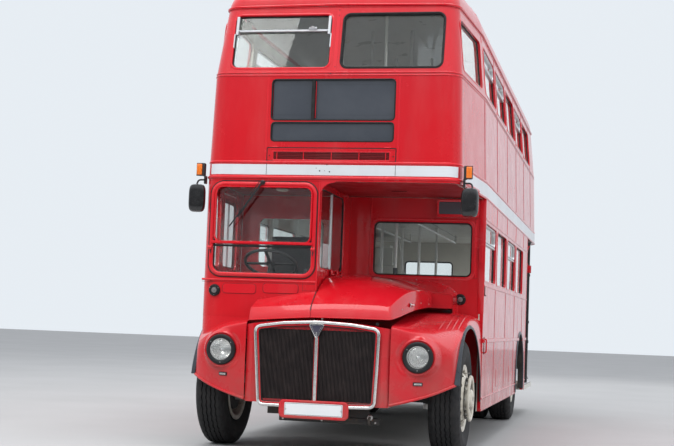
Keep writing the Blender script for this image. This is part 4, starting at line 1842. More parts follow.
# vent panel: raised edge, slats, uprights, hinges and screws
hoop(b, on_front, 0, 2.582, 1.148, .118, .006, [(-.004, -.001), (-.004, .0016), (.004, .0016), (.004, -.001)], 0, 2)
hoop(b, on_front, 0, 2.582, 1.138, .108, .005, [(-.010, -.001), (-.010, .0022), (.0005, .0022), (.0005, -.001)], 2, 2)
hoop(b, on_front, 0, 2.571, 1.048, .082, .014, [(-.008, -.018), (-.008, .0015), (-.004, .0042), (.005, .0036),
                                               (.008, .0005), (.008, -.002)], 2, 5)
for z in (2.5435, 2.5575, 2.5715, 2.5855, 2.5995):
    P, A, B = [], [], []
    for x in (-.518, .518):
        q, eu, ev, nn = on_front(x, z)
        P.append(q - nn * .008)
        A.append(ev * .86 + nn * .5)
        B.append(nn * .86 - ev * .5)
    b.add(sweep(P, A, B, bar(-.0058, .0058, -.0011, .0011, .001, 2)), 4)
patch(b, on_front, 0, 2.571, 1.040, .076, .010, -.0205, -.0185, 0)
for x in (-.485, -.245, .005, .25, .485):
    rod(b, on_front, x, 2.532, x, 2.611, strip(.0075, .002, .012), 2)
for x in (-.552, .552):
    p, _, _, n = on_front(x, 2.571)
    dome(b, p + n * .002, n, .0055, .003, 0, 10)
for x in (-.50, .50):
    P = [on_front(x - .03, 2.6475)[0] + on_front(x, 2.6475)[3] * .004, on_front(x + .03, 2.6475)[0] +
         on_front(x, 2.6475)[3] * .004]
    b.add(tube(P, .0048, 10), 2)
# joints in the white band and its fixing holes
for x in (-.574, .574):
    rod(b, on_front, x, 2.402, x, 2.640, strip(.0045, .0032), 0)
for x, z, r in ((-.093, 2.440, .0065), (-.005, 2.433, .0060), (-.125, 2.463, .0035), (-.048, 2.441, .003),
                (-.03, 2.494, .005)):
    p, _, _, n = on_front(x, z)
    b.add(lathe([(.0005, 0), (.0005, r), (.0029, r), (.0029, 0)], p, n, 16, closed=False), 5)
b.make("upper_front_detail", ["rubber", "alu", "red_trim", "blindglass", "red_dark", "ring"], angle=38)

# ------------------------------------------------------------------ cab front
b = Build()
cabf = flat(CABF)
WX, WZ, WW, WH, WR = -.585, 1.9195, .890, .765, .078
hoop(b, cabf, WX, WZ, WW, WH, WR, [(-.001, -.030), (-.001, .006), (.003, .013), (.010, .0165), (.016, .0165),
                                   (.029, .013), (.036, .005), (.0375, -.002)], 0, 9)
hoop(b, cabf, WX, WZ, WW, WH, WR, [(.036, -.002), (.036, .0065), (.041, .0055), (.045, .002), (.046, -.002)], 1, 9)
hoop(b, cabf, WX, WZ, WW, WH, WR, [(-.006, -.034), (-.006, -.012), (-.003, -.004), (0, -.001), (0, -.034)], 1, 9)
# opening top pane: its own rim and rail
hoop(b, cabf, WX, 2.048, .872, .492, .062, [(-.008, -.002), (-.008, .017), (-.005, .0220), (.004, .0220), (.007, .017),
                                            (.007, -.002)], 0, 9)
rod(b, cabf, -1.040, 1.800, -.130, 1.800, [(-.013, -.020), (-.013, .019), (-.009, .026), (.009, .026), (.013, .019),
                                          (.013, -.020)], 0)
rod(b, cabf, -1.028, 1.772, -.142, 1.772, [(-.009, -.022), (-.009, .008), (.008, .012), (.008, -.022)], 1)
for x in (-1.050, -.120):
    b.add(box((x, CABF - .018, 1.752), (.034, .034, .040), .006, 3), 0)
    b.add(lathe([(-.018, 0), (-.018, .010), (.018, .010), (.018, 0)], (x, CABF - .036, 1.752), (1, 0, 0), 16,
                closed=False), 0)
    dome(b, (x, CABF - .035, 1.770), (0, -1, 0), .005, .003, 1)
    b.add(tube([(x, CABF - .020, 1.735), (x + (.006 if x < -.6 else -.006), CABF - .016, 1.700)], .005, 8), 1)
# wiper: spindle, arm in two stages, blade with its rubber
b.add(lathe([(0, 0), (0, .022), (.010, .022), (.014, .017), (.026, .016), (.030, .010), (.030, 0)],
            (-.597, CABF - .010, 2.330), (0, -1, 0), 24, closed=False), 3)
d = np.array((-.807 + .597, 0, 2.02 - 2.33))
b.add(tube([(-.597, CABF - .036, 2.330), (-.64, CABF - .044, 2.266), (-.72, CABF - .044, 2.148),
            (-.807, CABF - .036, 2.020)], [.0105, .0095, .0075, .0055], 10), 3)
b.add(tube([(-.612, CABF - .040, 2.345), (-.652, CABF - .049, 2.285), (-.700, CABF - .047, 2.215)], .0035, 8), 3)
P = np.array([(-.639 + t * (-.881 + .639), CABF - .0335 - .003 * math.sin(math.pi * t), 2.267 + t * (1.936 - 2.267))
              for t in np.linspace(0, 1, 14)])
T = np.tile(((2.267 - 1.936), 0, -(.881 - .639)), (14, 1)) / math.hypot(.331, .242)
b.add(sweep(P, T, np.tile((0, -1.0, 0), (14, 1)), [(-.0045, -.002), (-.0055, .006), (-.003, .010), (.003, .010),
                                                  (.0055, .006), (.0045, -.002)]), 3)
b.add(sweep(P, T, np.tile((0, -1.0, 0), (14, 1)), [(-.0018, -.010), (-.003, -.001), (.003, -.001), (.0018, -.010),
                                                  (.0006, -.014), (-.0006, -.014)]), 1)
# moulding below the windscreen, the two covers, seams
rod(b, cabf, -1.120, 1.471, -.088, 1.471, half_round(.018, .007), 0)
for cx, cz, w, h in ((-.775, 1.3965, .300, .083), (-.4015, 1.408, .313, .082)):
    patch(b, cabf, cx, cz, w, h, .026, 0, .0055, 0, 8, .002)
    hoop(b, cabf, cx, cz, w, h, .026, [(.0002, -.001), (.0002, .0014), (.0034, .0014), (.0034, -.001)], 1, 8)
    for s in (-1, 1):
        dome(b, (cx + s * (w / 2 - .018), CABF - .0055, cz), (0, -1, 0), .0045, .0025, 0)
rod(b, cabf, -1.120, 1.4515, -.088, 1.4515, strip(.003, .0008), 1)
rod(b, cabf, -.205, 1.462, -.205, 1.395, strip(.003, .0008), 1)
rod(b, cabf, -.205, 1.395, -.088, 1.395, strip(.003, .0008), 1)
# corner bead of the cab, and the curved bracket to the canopy
P = np.array([(-.0875, CABF - .001, z) for z in np.linspace(1.40, 2.345, 6)])
b.add(sweep(P, np.tile((1.0, 0, 0), (6, 1)), np.tile((0, -1.0, 0), (6, 1)), half_round(.014, .006)), 0)
ring = [(-.090, 2.349), (.055, 2.349)]
for t in np.linspace(0, 1, 12):
    a = math.pi / 2 * t
    ring.append((.040 - .125 * math.sin(a), 2.340 - .125 * (1 - math.cos(a))))
R = np.array(ring)
n = len(R)
F3 = np.vstack([np.column_stack([R[:, 0], np.full(n, CABF - .0005), R[:, 1]]),
                np.column_stack([R[:, 0], np.full(n, CABF + .024), R[:, 1]])])
b.add((F3, [tuple(range(n)), tuple(range(n, 2 * n))[::-1]] + [(i, i + n, (i + 1) % n + n, (i + 1) % n)
                                                              for i in range(n)]), 0)
# apron that closes the cab down onto the wing
for a, c in (((-1.17, -3.35), (-.622, CABF)),):
    PP, NN = part_of(1.15, a, c, -.0012, 12)
    Q = [PP[0]]
    for i in range(1, len(PP)):
        seg = np.linalg.norm(PP[i] - PP[i - 1])
        for t in np.linspace(0, 1, max(2, int(seg / .03)) + 1)[1:]:
            Q.append(PP[i - 1] + t * (PP[i] - PP[i - 1]))
    Q = np.array(Q)
    low = []
    for x, y in Q:
        hit, _, _, _ = wing_trees[-1].ray_cast(Vector((x, y, 1.4)), Vector((0, 0, -1)), 0.8)
        low.append(hit.z - .008 if hit is not None else 1.120)
    n = len(Q)
    cen = np.array((-.6, -3.3))
    inw = (cen - Q) / np.linalg.norm(cen - Q, axis=1)[:, None] * .004
    V = np.vstack([np.column_stack([Q, np.full(n, 1.158)]), np.column_stack([Q, low]),
                   np.column_stack([Q + inw, low]), np.column_stack([Q + inw, np.full(n, 1.158)])])
    F = []
    for r in range(4):
        for i in range(n - 1):
            a0, a1 = r * n, ((r + 1) % 4) * n
            F.append((a0 + i, a0 + i + 1, a1 + i + 1, a1 + i))
    F += [(0, n, 2 * n, 3 * n), (n - 1, 4 * n - 1, 3 * n - 1, 2 * n - 1)]
    b.add((V, F), 0)
# nearside window of the cab: gasket, sliding pane rails
nsw = flat_x(-.085, 1)
hoop(b, nsw, FA - .02, 1.95, .96, .70, .060, [(-.012, -.026), (-.012, -.012), (-.008, -.008), (-.001, -.008),
                                             (-.001, -.026)], 1, 7)
hoop(b, nsw, FA - .02, 1.95, .96, .70, .060, [(-.003, -.020), (-.003, .003), (.002, .005), (.010, .003), (.012, -.002)], 0, 7)
rod(b, nsw, FA - .02, 1.610, FA - .02, 2.290, [(-.011, -.026), (-.011, -.006), (.011, -.006), (.011, -.026)], 4)
b.make("cab_front_detail", ["red_trim", "rubber", "steel", "wiper", "alu"], angle=38)

# ------------------------------------------------------------------ valance and towing hook under the radiator
b = Build()
b.add(lim(-.335, .535, FA - .705, FA - .690, .285, .338, .006), 0)
b.add(lim(-.335, .535, FA - .700, FA - .640, .325, .337, .004), 0)
for x in (-.30, .04, .50):
    dome(b, (x, FA - .7055, .305), (0, -1, 0), .010, .006, 1, 6)
b.add(tube(rounded([(.455, FA - .700, .345), (.455, FA - .745, .345), (.455, FA - .760, .305), (.455, FA - .735, .285),
                    (.455, FA - .712, .300)], .016, 6), .011, 12), 0)
b.add(lathe([(0, 0), (0, .024), (.010, .024), (.014, .018), (.014, 0)], (.455, FA - .702, .345), (0, -1, 0), 24,
            closed=False), 1)
b.make("front_valance", ["chassis", "steel"], angle=40)

# ------------------------------------------------------------------ bulkhead
b = Build()
bk = flat(BULK)
hoop(b, bk, .620, 1.861, .956, .522, .060, [(-.018, -.030), (-.018, -.014), (-.013, -.009), (-.005, -.008), (-.002, -.012),
                                           (-.002, -.030)], 1, 8)
hoop(b, bk, .620, 1.861, .956, .522, .060, [(-.004, -.024), (-.004, .003), (.002, .006), (.011, .004), (.014, -.002)], 0, 8)
hoop(b, bk, .620, 1.861, .956, .522, .060, [(.012, -.002), (.012, .006), (.020, .008), (.030, .005), (.033, -.002)], 0, 8)
# box for the number, its rounded blank glass
nb = flat(BULK - .060)
hoop(b, nb, .9575, 2.2525, .375, .135, .020, [(-.008, -.001), (-.008, .003), (-.003, .0065), (.010, .0065), (.014, .002),
                                             (.014, -.001)], 0, 6)
patch(b, nb, .9575, 2.2525, .366, .126, .016, 0, .0022, 2)
rod(b, nb, .757, 2.332, 1.158, 2.332, half_round(.012, .005), 0)
for x in (.768, 1.147):
    for z in (2.18, 2.32):
        dome(b, (x, BULK - .060, z), (0, -1, 0), .004, .0025, 0)
# covers and seams on the bulkhead
rod(b, bk, .12, 1.596, 1.155, 1.596, strip(.003, .0008), 1)
rod(b, bk, .115, 1.60, .115, 2.345, half_round(.016, .006), 0)
rod(b, bk, 1.130, 1.60, 1.130, 2.160, half_round(.012, .005), 0)
for z in np.arange(1.66, 2.30, .12):
    dome(b, (.115, BULK - .006, z), (0, -1, 0), .0035, .002, 0, 8)
# canopy: a small dark slot
b.add(lim(.410, .550, -3.165, -3.135, 2.3490, 2.3525, .001), 1)
b.make("bulkhead_detail", ["red_trim", "rubber", "blindglass"], angle=38)


# ------------------------------------------------------------------ tyres
HALF = [(.0985, .2635), (.1020, .2750), (.1035, .2900), (.1075, .3015), (.1098, .3030), (.1105, .3060), (.1175, .3180),
        (.1275, .3410), (.1340, .3620), (.1380, .3840), (.1392, .3975), (.1402, .4000), (.1392, .4035), (.1376, .4120),
        (.1365, .4300), (.1338, .4470), (.1332, .4510), (.1342, .4530), (.1325, .4580), (.1270, .4700), (.1190, .4830),
        (.1150, .4895), (.1080, .4965), (.0980, .5030), (.0880, .5062), (.0665, .5078), (.0635, .4970), (.0570, .4970),
        (.0540, .5085), (.0265, .5091), (.0237, .4970), (.0170, .4970), (.0140, .5095)]
TYRE_OUT = [(-x, r) for x, r in HALF] + [(x, r) for x, r in HALF[::-1]]
SEGS = 180


def tyre_shape(b, centre, side, seed, mat=0):
    prof = np.array(TYRE_OUT)
    n = len(prof)
    V = []
    for i in range(SEGS):
        th = 2 * math.pi * (i + seed) / SEGS
        X, R = prof[:, 0].copy(), prof[:, 1].copy()
        zig = .0032 if (i // 2) % 2 else -.0032
        tread = R > .4965
        X[tread & (np.abs(X) < .075)] += zig
        if i % 5 in (0, 1):
            for k in range(n):
                if .092 < abs(X[k]) < .130 and R[k] > .468:
                    R[k] -= .0085
        if i % 5 == 3:
            for k in range(n):
                if .026 < abs(X[k]) < .056 and R[k] > .505:
                    R[k] -= .0020
        V.append(np.column_stack([centre[0] + side * X, centre[1] + R * math.sin(th), centre[2] + R * math.cos(th)]))
    V = np.concatenate(V)
    F = []
    for i in range(SEGS):
        j = (i + 1) % SEGS
        for k in range(n - 1):
            F.append((i * n + k, i * n + k + 1, j * n + k + 1, j * n + k))
    # inner liner closes the shell
    inner = [(.0985, .2635), (.0960, .2640), (.0900, .3000), (.0900, .4800), (.0, .4900)]
    inner = inner + [(-x, r) for x, r in inner[::-1][1:]]
    m = len(inner)
    o = len(V)
    W = []
    for i in range(SEGS):
        th = 2 * math.pi * (i + seed) / SEGS
        for x, r in inner[1:-1]:
            W.append((centre[0] + side * x, centre[1] + r * math.sin(th), centre[2] + r * math.cos(th)))
    q = m - 2
    for i in range(SEGS):
        j = (i + 1) % SEGS
        F.append((i * n + n - 1, o + i * q, o + j * q, j * n + n - 1))
        for k in range(q - 1):
            F.append((o + i * q + k, o + i * q + k + 1, o + j * q + k + 1, o + j * q + k))
        F.append((o + i * q + q - 1, i * n, j * n, o + j * q + q - 1))
    b.add((np.vstack([V, np.array(W)]), F), mat)
    # wear pips and moulded ribs on the wall
    for k in range(12):
        th = 2 * math.pi * (k + .3) / 12
        for s in (-1, 1):
            p = np.array((centre[0] + s * .1395 * 1.0, centre[1] + .392 * math.sin(th), centre[2] + .392 * math.cos(th)))
            b.add(box(p, (.0012, .012, .005), 0), mat)


F_X, R_X, TWIN = 1.035, 1.010, .310
for name, side in (("nearside", 1), ("offside", -1)):
    b = Build()
    tyre_shape(b, (side * F_X, FA, HUB), side, 0.0)
    b.make("front_tyre_%s_tread" % name, ["tyre"], "front_wheel_" + name, angle=30,
           replaces=("front_tyre_" + name,), slot="tyre")
    b = Build()
    tyre_shape(b, (side * R_X, RA, HUB), side, 1.3)
    tyre_shape(b, (side * (R_X - TWIN), RA, HUB), side, 3.7)
    b.make("rear_tyres_%s_tread" % name, ["tyre"], "rear_wheels_" + name, angle=30,
           replaces=("rear_tyres_" + name,), slot="tyre")

RIM = [(-.120, .289), (-.1190, .2935), (-.1145, .2945), (-.1090, .2925), (-.1050, .2860), (-.1015, .2680), (-.098, .2620),
       (-.060, .2590), (.060, .2590), (.098, .2620), (.1015, .2680), (.1050, .2860), (.1090, .2925), (.1145, .2945),
       (.1190, .2935), (.120, .289), (.1190, .2780), (.1150, .2700), (.1130, .2620), (.1150, .2560), (.1120, .2500),
       (.1030, .2455), (.0900, .2430), (.0600, .2480), (-.0600, .2480), (-.1100, .2500), (-.1180, .2600)]


def holed_cone(b, centre, side, ra, xa, rb, xb, count, rh, w, h, mat, thick=.007):
    """Conical band from radius ra (axial xa) to rb (axial xb) with rounded hand holes, rims turned inwards."""
    centre = np.array(centre)

    def at(r, th, deep=0.0):
        t = (r - ra) / (rb - ra)
        L = math.hypot(rb - ra, xb - xa)
        nx, nr = (rb - ra) / L, -(xb - xa) / L
        if nx < 0:
            nx, nr = -nx, -nr
        x = xa + (xb - xa) * t - nx * deep
        q = r - nr * deep
        return (centre[0] + side * x, centre[1] + q * math.sin(th), centre[2] + q * math.cos(th))
    step = 2 * math.pi / count
    for k in range(count):
        c = step * (k + .5)
        border, oval = [], []
        na, nr = 8, 4
        for i in range(na):
            border.append((ra, c - step / 2 + step * i / na))
        for i in range(nr):
            border.append((ra + (rb - ra) * i / nr, c + step / 2))
        for i in range(na):
            border.append((rb, c + step / 2 - step * i / na))
        for i in range(nr):
            border.append((rb + (ra - rb) * i / nr, c - step / 2))
        n = len(border)
        for r, th in border:
            a = math.atan2(r - rh, (th - c) * rh)
            cx, sx = math.cos(a), math.sin(a)
            e = 1.0 / ((abs(cx) / (w / 2)) ** 2.6 + (abs(sx) / (h / 2)) ** 2.6) ** (1 / 2.6)
            oval.append((rh + e * sx, c + e * cx / rh))
        mid = [(o[0] * .72 + q[0] * .28, o[1] * .72 + q[1] * .28) for o, q in zip(oval, border)]
        V = [at(r, t) for r, t in border] + [at(r, t, -.0) for r, t in mid] + [at(r, t, .0018) for r, t in oval]
        V += [at(r, t, thick + .004) for r, t in oval]
        V += [at(r, t, thick) for r, t in border]
        F = []
        for ring_i in range(4):
            for i in range(n):
                j = (i + 1) % n
                F.append((ring_i * n + i, ring_i * n + j, (ring_i + 1) * n + j, (ring_i + 1) * n + i))
        b.add((V, F), mat)


def on_wheel(centre, side, a, r, th):
    return np.array((centre[0] + side * a, centre[1] + r * math.sin(th), centre[2] + r * math.cos(th)))


for name, side in (("nearside", 1), ("offside", -1)):
    b = Build()
    C = (side * F_X, FA, HUB)
    ax = (side, 0, 0)
    b.add(lathe(RIM, C, ax, 96), 0)
    holed_cone(b, C, side, .2435, .0800, .1800, .1380, 10, .2150, .046, .034, 0)
    # well of the disc behind the nuts, in shadow colour
    b.add(lathe([(.1395, .182), (.1440, .177), (.1430, .166), (.1250, .154), (.1250, .100), (.1190, .100), (.1190, .158),
                 (.1340, .182)], C, ax, 72), 3)
    b.add(lathe([(.020, .119), (.112, .119), (.1245, .112), (.1245, .060), (.020, .060)], C, ax, 48), 2)
    for k in range(10):
        th = 2 * math.pi * (k + .5) / 10
        p = on_wheel(C, side, .1250, .1400, th)
        hexnut(b, p, np.array(ax, float), .0155, .017, 1)
        b.add(lathe([(0, 0), (0, .0085), (.0245, .0085), (.0265, .0065), (.0265, 0)], p, ax, 12, closed=False), 1)
    # nut guard: broad ring, five spokes, hub cap
    ringp = [(.1660, .1665), (.1730, .1635), (.1830, .1650), (.1880, .1705), (.1895, .1805), (.1880, .1935), (.1820, .2010),
             (.1740, .2030), (.1670, .2005), (.1650, .1905)]
    b.add(lathe(ringp, C, ax, 96), 0)
    for k in range(5):
        th = 2 * math.pi * (k + .22) / 5
        rdir = np.array((0, math.sin(th), math.cos(th)))
        tdir = np.array((0, math.cos(th), -math.sin(th)))
        P = [on_wheel(C, side, a, r, th) for r, a in ((.1710, .1740), (.1450, .1700), (.1180, .1660), (.0960, .1660))]
        W = [.048, .040, .040, .050]
        V = []
        for p, w in zip(P, W):
            for sx, sd in ((-1, 0), (-.86, 1), (.86, 1), (1, 0), (.86, -1), (-.86, -1)):
                V.append(p + tdir * sx * w / 2 + np.array(ax, float) * sd * .0045)
        F = [(0, 1, 2, 3, 4, 5), tuple(range(18, 24))[::-1]]
        for q in range(3):
            for i in range(6):
                j = (i + 1) % 6
                F.append((q * 6 + i, q * 6 + j, (q + 1) * 6 + j, (q + 1) * 6 + i))
        b.add((V, F), 0)
        # stays from the ring back to the disc
        for d in (-.12, .12):
            t2 = th + d
            b.add(tube([on_wheel(C, side, .178, .172, t2), on_wheel(C, side, .138, .165, t2)], .006, 8), 0)
    b.add(lathe([(.120, .104), (.158, .104), (.166, .101), (.172, .094), (.176, .082), (.186, .076), (.1945, .066),
                 (.1975, .050), (.1985, .030), (.1985, 0), (.120, 0)], C, ax, 64, closed=False), 0)
    b.add(lathe([(.1760, .0835), (.1785, .0850), (.1785, .0905), (.1740, .0930)], C, ax, 64), 2)
    for k in range(8):
        th = 2 * math.pi * k / 8
        hexnut(b, on_wheel(C, side, .1735, .0885, th), np.array(ax, float), .0075, .007, 1)
    b.add(lathe([(0, 0), (0, .020), (.0012, .020), (.0012, 0)], on_wheel(C, side, .1980, 0, 0), ax, 24, closed=False), 2)
    # valve and balance weights
    b.add(tube([on_wheel(C, side, .085, .236, .4), on_wheel(C, side, .125, .232, .4), on_wheel(C, side, .150, .236, .4)],
               .0045, 8), 1)
    for t in (1.1, 4.0):
        p = on_wheel(C, side, .118, .284, t)
        b.add(box(p, (.006, .045, .012), .002), 1)
    # brake drum and hub at the back
    b.add(lathe([(-.094, .043), (-.094, .196), (-.088, .200), (.012, .200), (.018, .194), (.018, .119), (.010, .119),
                 (.010, .186), (-.075, .186), (-.075, .043)], C, ax, 64), 2)
    b.make("front_wheel_%s_disc" % name, ["cream", "steel", "chassis", "wheel_dark"], "front_wheel_" + name, angle=34,
           replaces=("front_wheel_" + name,), slot="wheel_white")

    b = Build()
    C = (side * R_X, RA, HUB)
    b.add(lathe(RIM, C, ax, 80), 0)
    Ci = (side * (R_X - TWIN), RA, HUB)
    b.add(lathe([(-a, r) for a, r in RIM], Ci, ax, 80), 0)
    b.add(lathe([(-.195, .237), (-.195, .249), (-.112, .249), (-.112, .237)], C, ax, 64), 0)
    holed_cone(b, C, side, .2440, -.1400, .1830, -.0920, 10, .2150, .046, .034, 0)
    b.add(lathe([(-.0920, .186), (-.0900, .181), (-.0900, .113), (-.0990, .113), (-.0990, .180)], C, ax, 64), 0)
    for k in range(10):
        th = 2 * math.pi * k / 10
        p = on_wheel(C, side, -.0900, .148, th)
        hexnut(b, p, np.array(ax, float), .0165, .020, 1)
        b.add(lathe([(0, 0), (0, .0095), (.030, .0095), (.033, .0070), (.033, 0)], p, ax, 12, closed=False), 1)
    b.add(lathe([(-.100, .111), (.046, .111), (.052, .108), (.056, .109), (.062, .109), (.067, .104), (.069, .090),
                 (.0735, .080), (.0745, .040), (.0745, 0), (-.100, 0)], C, ax, 56, closed=False), 0)
    for k in range(10):
        th = 2 * math.pi * (k + .5) / 10
        hexnut(b, on_wheel(C, side, .0670, .0960, th), np.array(ax, float), .0085, .0075, 1)
    b.add(lathe([(-.408, .062), (-.408, .200), (-.400, .205), (-.172, .205), (-.165, .196), (-.165, .062)], C, ax, 64), 2)
    for a in (-.36, -.32, -.28, -.24):
        b.add(lathe([(a, .2035), (a, .2048), (a + .012, .2048), (a + .012, .2035)], C, ax, 64), 2)
    b.add(tube([on_wheel(C, side, -.120, .236, .4), on_wheel(C, side, -.075, .232, .4), on_wheel(C, side, -.050, .236, .4)],
               .0045, 8), 1)
    b.make("rear_wheels_%s_disc" % name, ["cream", "steel", "chassis"], "rear_wheels_" + name, angle=34,
           replaces=("rear_wheels_" + name,), slot="wheel_white")

# ------------------------------------------------------------------ flares of the rear wheel openings, rear lamps and plate
b = Build()
for side in (1, -1):
    sk = on_side(side)
    z0 = .372
    a0 = math.acos((z0 - HUB) / .575) if abs((z0 - HUB) / .575) < 1 else math.pi / 2
    P, A, B = [], [], []
    for t in np.linspace(-a0, a0, 60):
        y, z = RA + .575 * math.sin(t), HUB + .575 * math.cos(t)
        p, ey, ez, n = sk(y, z)
        P.append(p)
        A.append(ey * math.sin(t) + ez * math.cos(t))
        B.append(n)
    b.add(sweep(P, A, B, [(-.012, -.010), (-.014, .004), (-.010, .0105), (.000, .0120), (.012, .0105), (.022, .005),
                          (.026, -.001)]), 0)
    # wheel box lining seen inside the opening
    b.add(sweep(P, A, B, [(-.0125, -.062), (-.0125, .003), (-.0105, .003), (-.0105, -.062)]), 2)
    for k in range(9):
        t = -a0 + (k + .5) * 2 * a0 / 9
        p, _, _, n = sk(RA + .590 * math.sin(t), HUB + .590 * math.cos(t))
        dome(b, p + n * .004, n, .005, .003, 1)
b.make("rear_arch_flares", ["bead", "steel", "chassis"], angle=40)


# ------------------------------------------------------------------ seats
def sim_pad(name, size, r, voxel, pressure, cap, target):
    """A stuffed pad: a smaller rounded block is remeshed, swollen by the cloth solver, capped and thinned out."""
    v, f = box((0, 0, 0), tuple(s - .018 for s in size), r, 3)
    me = bpy.data.meshes.new(name + "_start")
    me.from_pydata(np.asarray(v).tolist(), [], f)
    tmp = bpy.data.objects.new(name + "_start", me)
    bpy.context.scene.collection.objects.link(tmp)
    rm = tmp.modifiers.new("rm", "REMESH")
    rm.mode = "VOXEL"
    rm.voxel_size = voxel
    base = applied(tmp)
    co0 = get_co(base)
    ob = bpy.data.objects.new(name + "_sim", base)
    bpy.context.scene.collection.objects.link(ob)
    cl = ob.modifiers.new("cl", "CLOTH")
    st = cl.settings
    st.quality = 5
    st.mass = 0.25
    st.use_pressure = True
    st.uniform_pressure_force = pressure
    st.tension_stiffness = st.compression_stiffness = 12
    st.shear_stiffness = 5
    st.bending_stiffness = 0.8
    st.effector_weights.gravity = 0.0
    cl.collision_settings.use_self_collision = False
    cl.point_cache.frame_start, cl.point_cache.frame_end = 1, 20
    for fr in range(1, 21):
        bpy.context.scene.frame_set(fr)
    dg = bpy.context.evaluated_depsgraph_get()
    out = bpy.data.meshes.new_from_object(ob.evaluated_get(dg))
    co = get_co(out)
    bpy.data.objects.remove(ob)
    bpy.context.scene.frame_set(1)
    d = co - co0
    L = np.linalg.norm(d, axis=1)
    d *= np.minimum(1.0, cap / np.maximum(L, 1e-9))[:, None]
    co = co0 + d
    # tufted crease pulled in a little below the middle of the pad
    lim3 = np.array(size) / 2 + np.array((.002, .006, .009))
    co = np.clip(co, -lim3, lim3)
    set_co(out, co)
    ob = bpy.data.objects.new(name + "_thin", out)
    bpy.context.scene.collection.objects.link(ob)
    dm = ob.modifiers.new("dm", "DECIMATE")
    dm.ratio = min(1.0, target / max(1, sum(len(p.vertices) - 2 for p in out.polygons)))
    thin = applied(ob)
    V = get_co(thin)
    F = [tuple(p.vertices) for p in thin.polygons]
    return V, F


def placed(shape, at, scale=(1, 1, 1), turn=0.0, tip=0.0):
    V, F = shape
    V = V * np.array(scale)
    c, s = math.cos(tip), math.sin(tip)
    V = np.column_stack([V[:, 0], V[:, 1] * c - V[:, 2] * s, V[:, 1] * s + V[:, 2] * c])
    c, s = math.cos(turn), math.sin(turn)
    V = np.column_stack([V[:, 0] * c - V[:, 1] * s, V[:, 0] * s + V[:, 1] * c, V[:, 2]])
    return V + np.array(at), F


PAD = sim_pad("seat_pad", (.392, .430, .120), .030, .012, 4.0, .016, 1500)
BACKP = sim_pad("back_pad", (.392, .098, .560), .026, .012, 4.0, .014, 1700)

decks = {"lower": (.66 + .04 - .04, .255, 1.120, [(1.130 + .76 * i, True, True) for i in range(4)]),
         "upper": (2.402, .255, 1.040, [(-.060 + .735 * i, True, True) for i in range(8)] +
                   [(-.060 + .735 * i, True, False) for i in (8, 9)])}
for deck, (base, xa, xb, rows) in decks.items():
    pads, fr = Build(), Build()
    nodev = get_co(NODES[deck + "_deck_seats"].data)
    base = float(nodev[:, 2].min()) - .001
    w = (xb - xa) / 2
    for yr, near, off in rows:
        Y = FA + yr
        for side, on in ((1, near), (-1, off)):
            if not on:
                continue
            for k in (0, 1):
                x = side * (xa + w * (k + .5))
                pads.add(placed(PAD, (x, Y + .212, base + .386), (w / .392, 1, 1)), 0)
                pads.add(placed(BACKP, (x, Y + .424, base + .640), (w / .392, .92, .95)), 0)
            x0, x1 = sorted((side * xa, side * xb))
            # frame: back panel, wrapped rail with handle, base rails and legs
            fr.add(lim(x0 + .006, x1 - .006, Y + .462, Y + .470, base + .36, base + .86, .004), 1)
            fr.add(tube(rounded([(x0 + .012, Y + .440, base + .34), (x0 + .012, Y + .440, base + .925),
                                 (x1 - .012, Y + .440, base + .925), (x1 - .012, Y + .440, base + .34)], .055, 5),
                        .0115, 8), 0)
            for xx in (x0 + .13, x1 - .13):
                fr.add(lim(xx - .02, xx + .02, Y + .02, Y + .43, base + .300, base + .328, .004), 2)
                fr.add(tube(rounded([(xx, Y + .06, base + .004), (xx, Y + .09, base + .310), (xx, Y + .37, base + .310),
                                     (xx, Y + .41, base + .004)], .045, 4), .013, 8), 2)
                for yy in (.06, .41):
                    fr.add(lathe([(0, 0), (0, .030), (.004, .030), (.006, .020), (.006, 0)], (xx, Y + yy, base + .0015),
                                 (0, 0, 1), 16, closed=False), 2)
            fr.add(lim(x0 + .010, x1 - .010, Y + .004, Y + .020, base + .290, base + .345, .005), 2)
    if deck == "lower":
        for side in (1, -1):
            for k in (-1, 0, 1):
                pads.add(placed(PAD, (side * .860, RA + k * .373, 1.121), (.373 / .392, .58 / .430, .78), math.pi / 2), 0)
            fr.add(lim(*(sorted((side * .572, side * .584)) + [RA - .555, RA + .555, 1.078, 1.110]), r=.003), 1)
    ob = pads.make(deck + "_seat_cushions", ["cloth"], angle=180, replaces=(deck + "_deck_seats",))
    fr.make(deck + "_seat_frames", ["alu", "lining_red", "frame"], angle=40)

b = Build()
sx = -.620
b.add(placed(PAD, (sx, FA + .415, 1.440), (.458 / .392, .448 / .430, .84)), 0)
b.add(placed(BACKP, (sx, FA + .645, 1.700), (.448 / .392, .92, .93)), 0)
ob = b.make("driver_seat_pads", ["hide_dark"], angle=180, replaces=("driver_seat",))
b = Build()
b.add(lim(sx - .222, sx + .222, FA + .684, FA + .694, 1.46, 1.94, .005), 0)
b.add(lim(sx - .200, sx + .200, FA + .215, FA + .625, 1.372, 1.398, .006), 0)
b.add(lim(sx - .145, sx + .145, FA + .285, FA + .575, 1.182, 1.260, .010), 0)
b.add(lathe([(0, .085), (.030, .085), (.034, .070), (.110, .066), (.114, .085), (.140, .085), (.140, 0), (0, 0)],
            (sx, FA + .43, 1.250), (0, 0, 1), 24, closed=False), 1)
for dx in (-.13, .13):
    b.add(tube(rounded([(sx + dx, FA + .60, 1.385), (sx + dx, FA + .700, 1.385), (sx + dx, FA + .700, 1.60)], .04), .012, 8), 1)
b.make("driver_seat_frame", ["chassis", "steel"], angle=40)

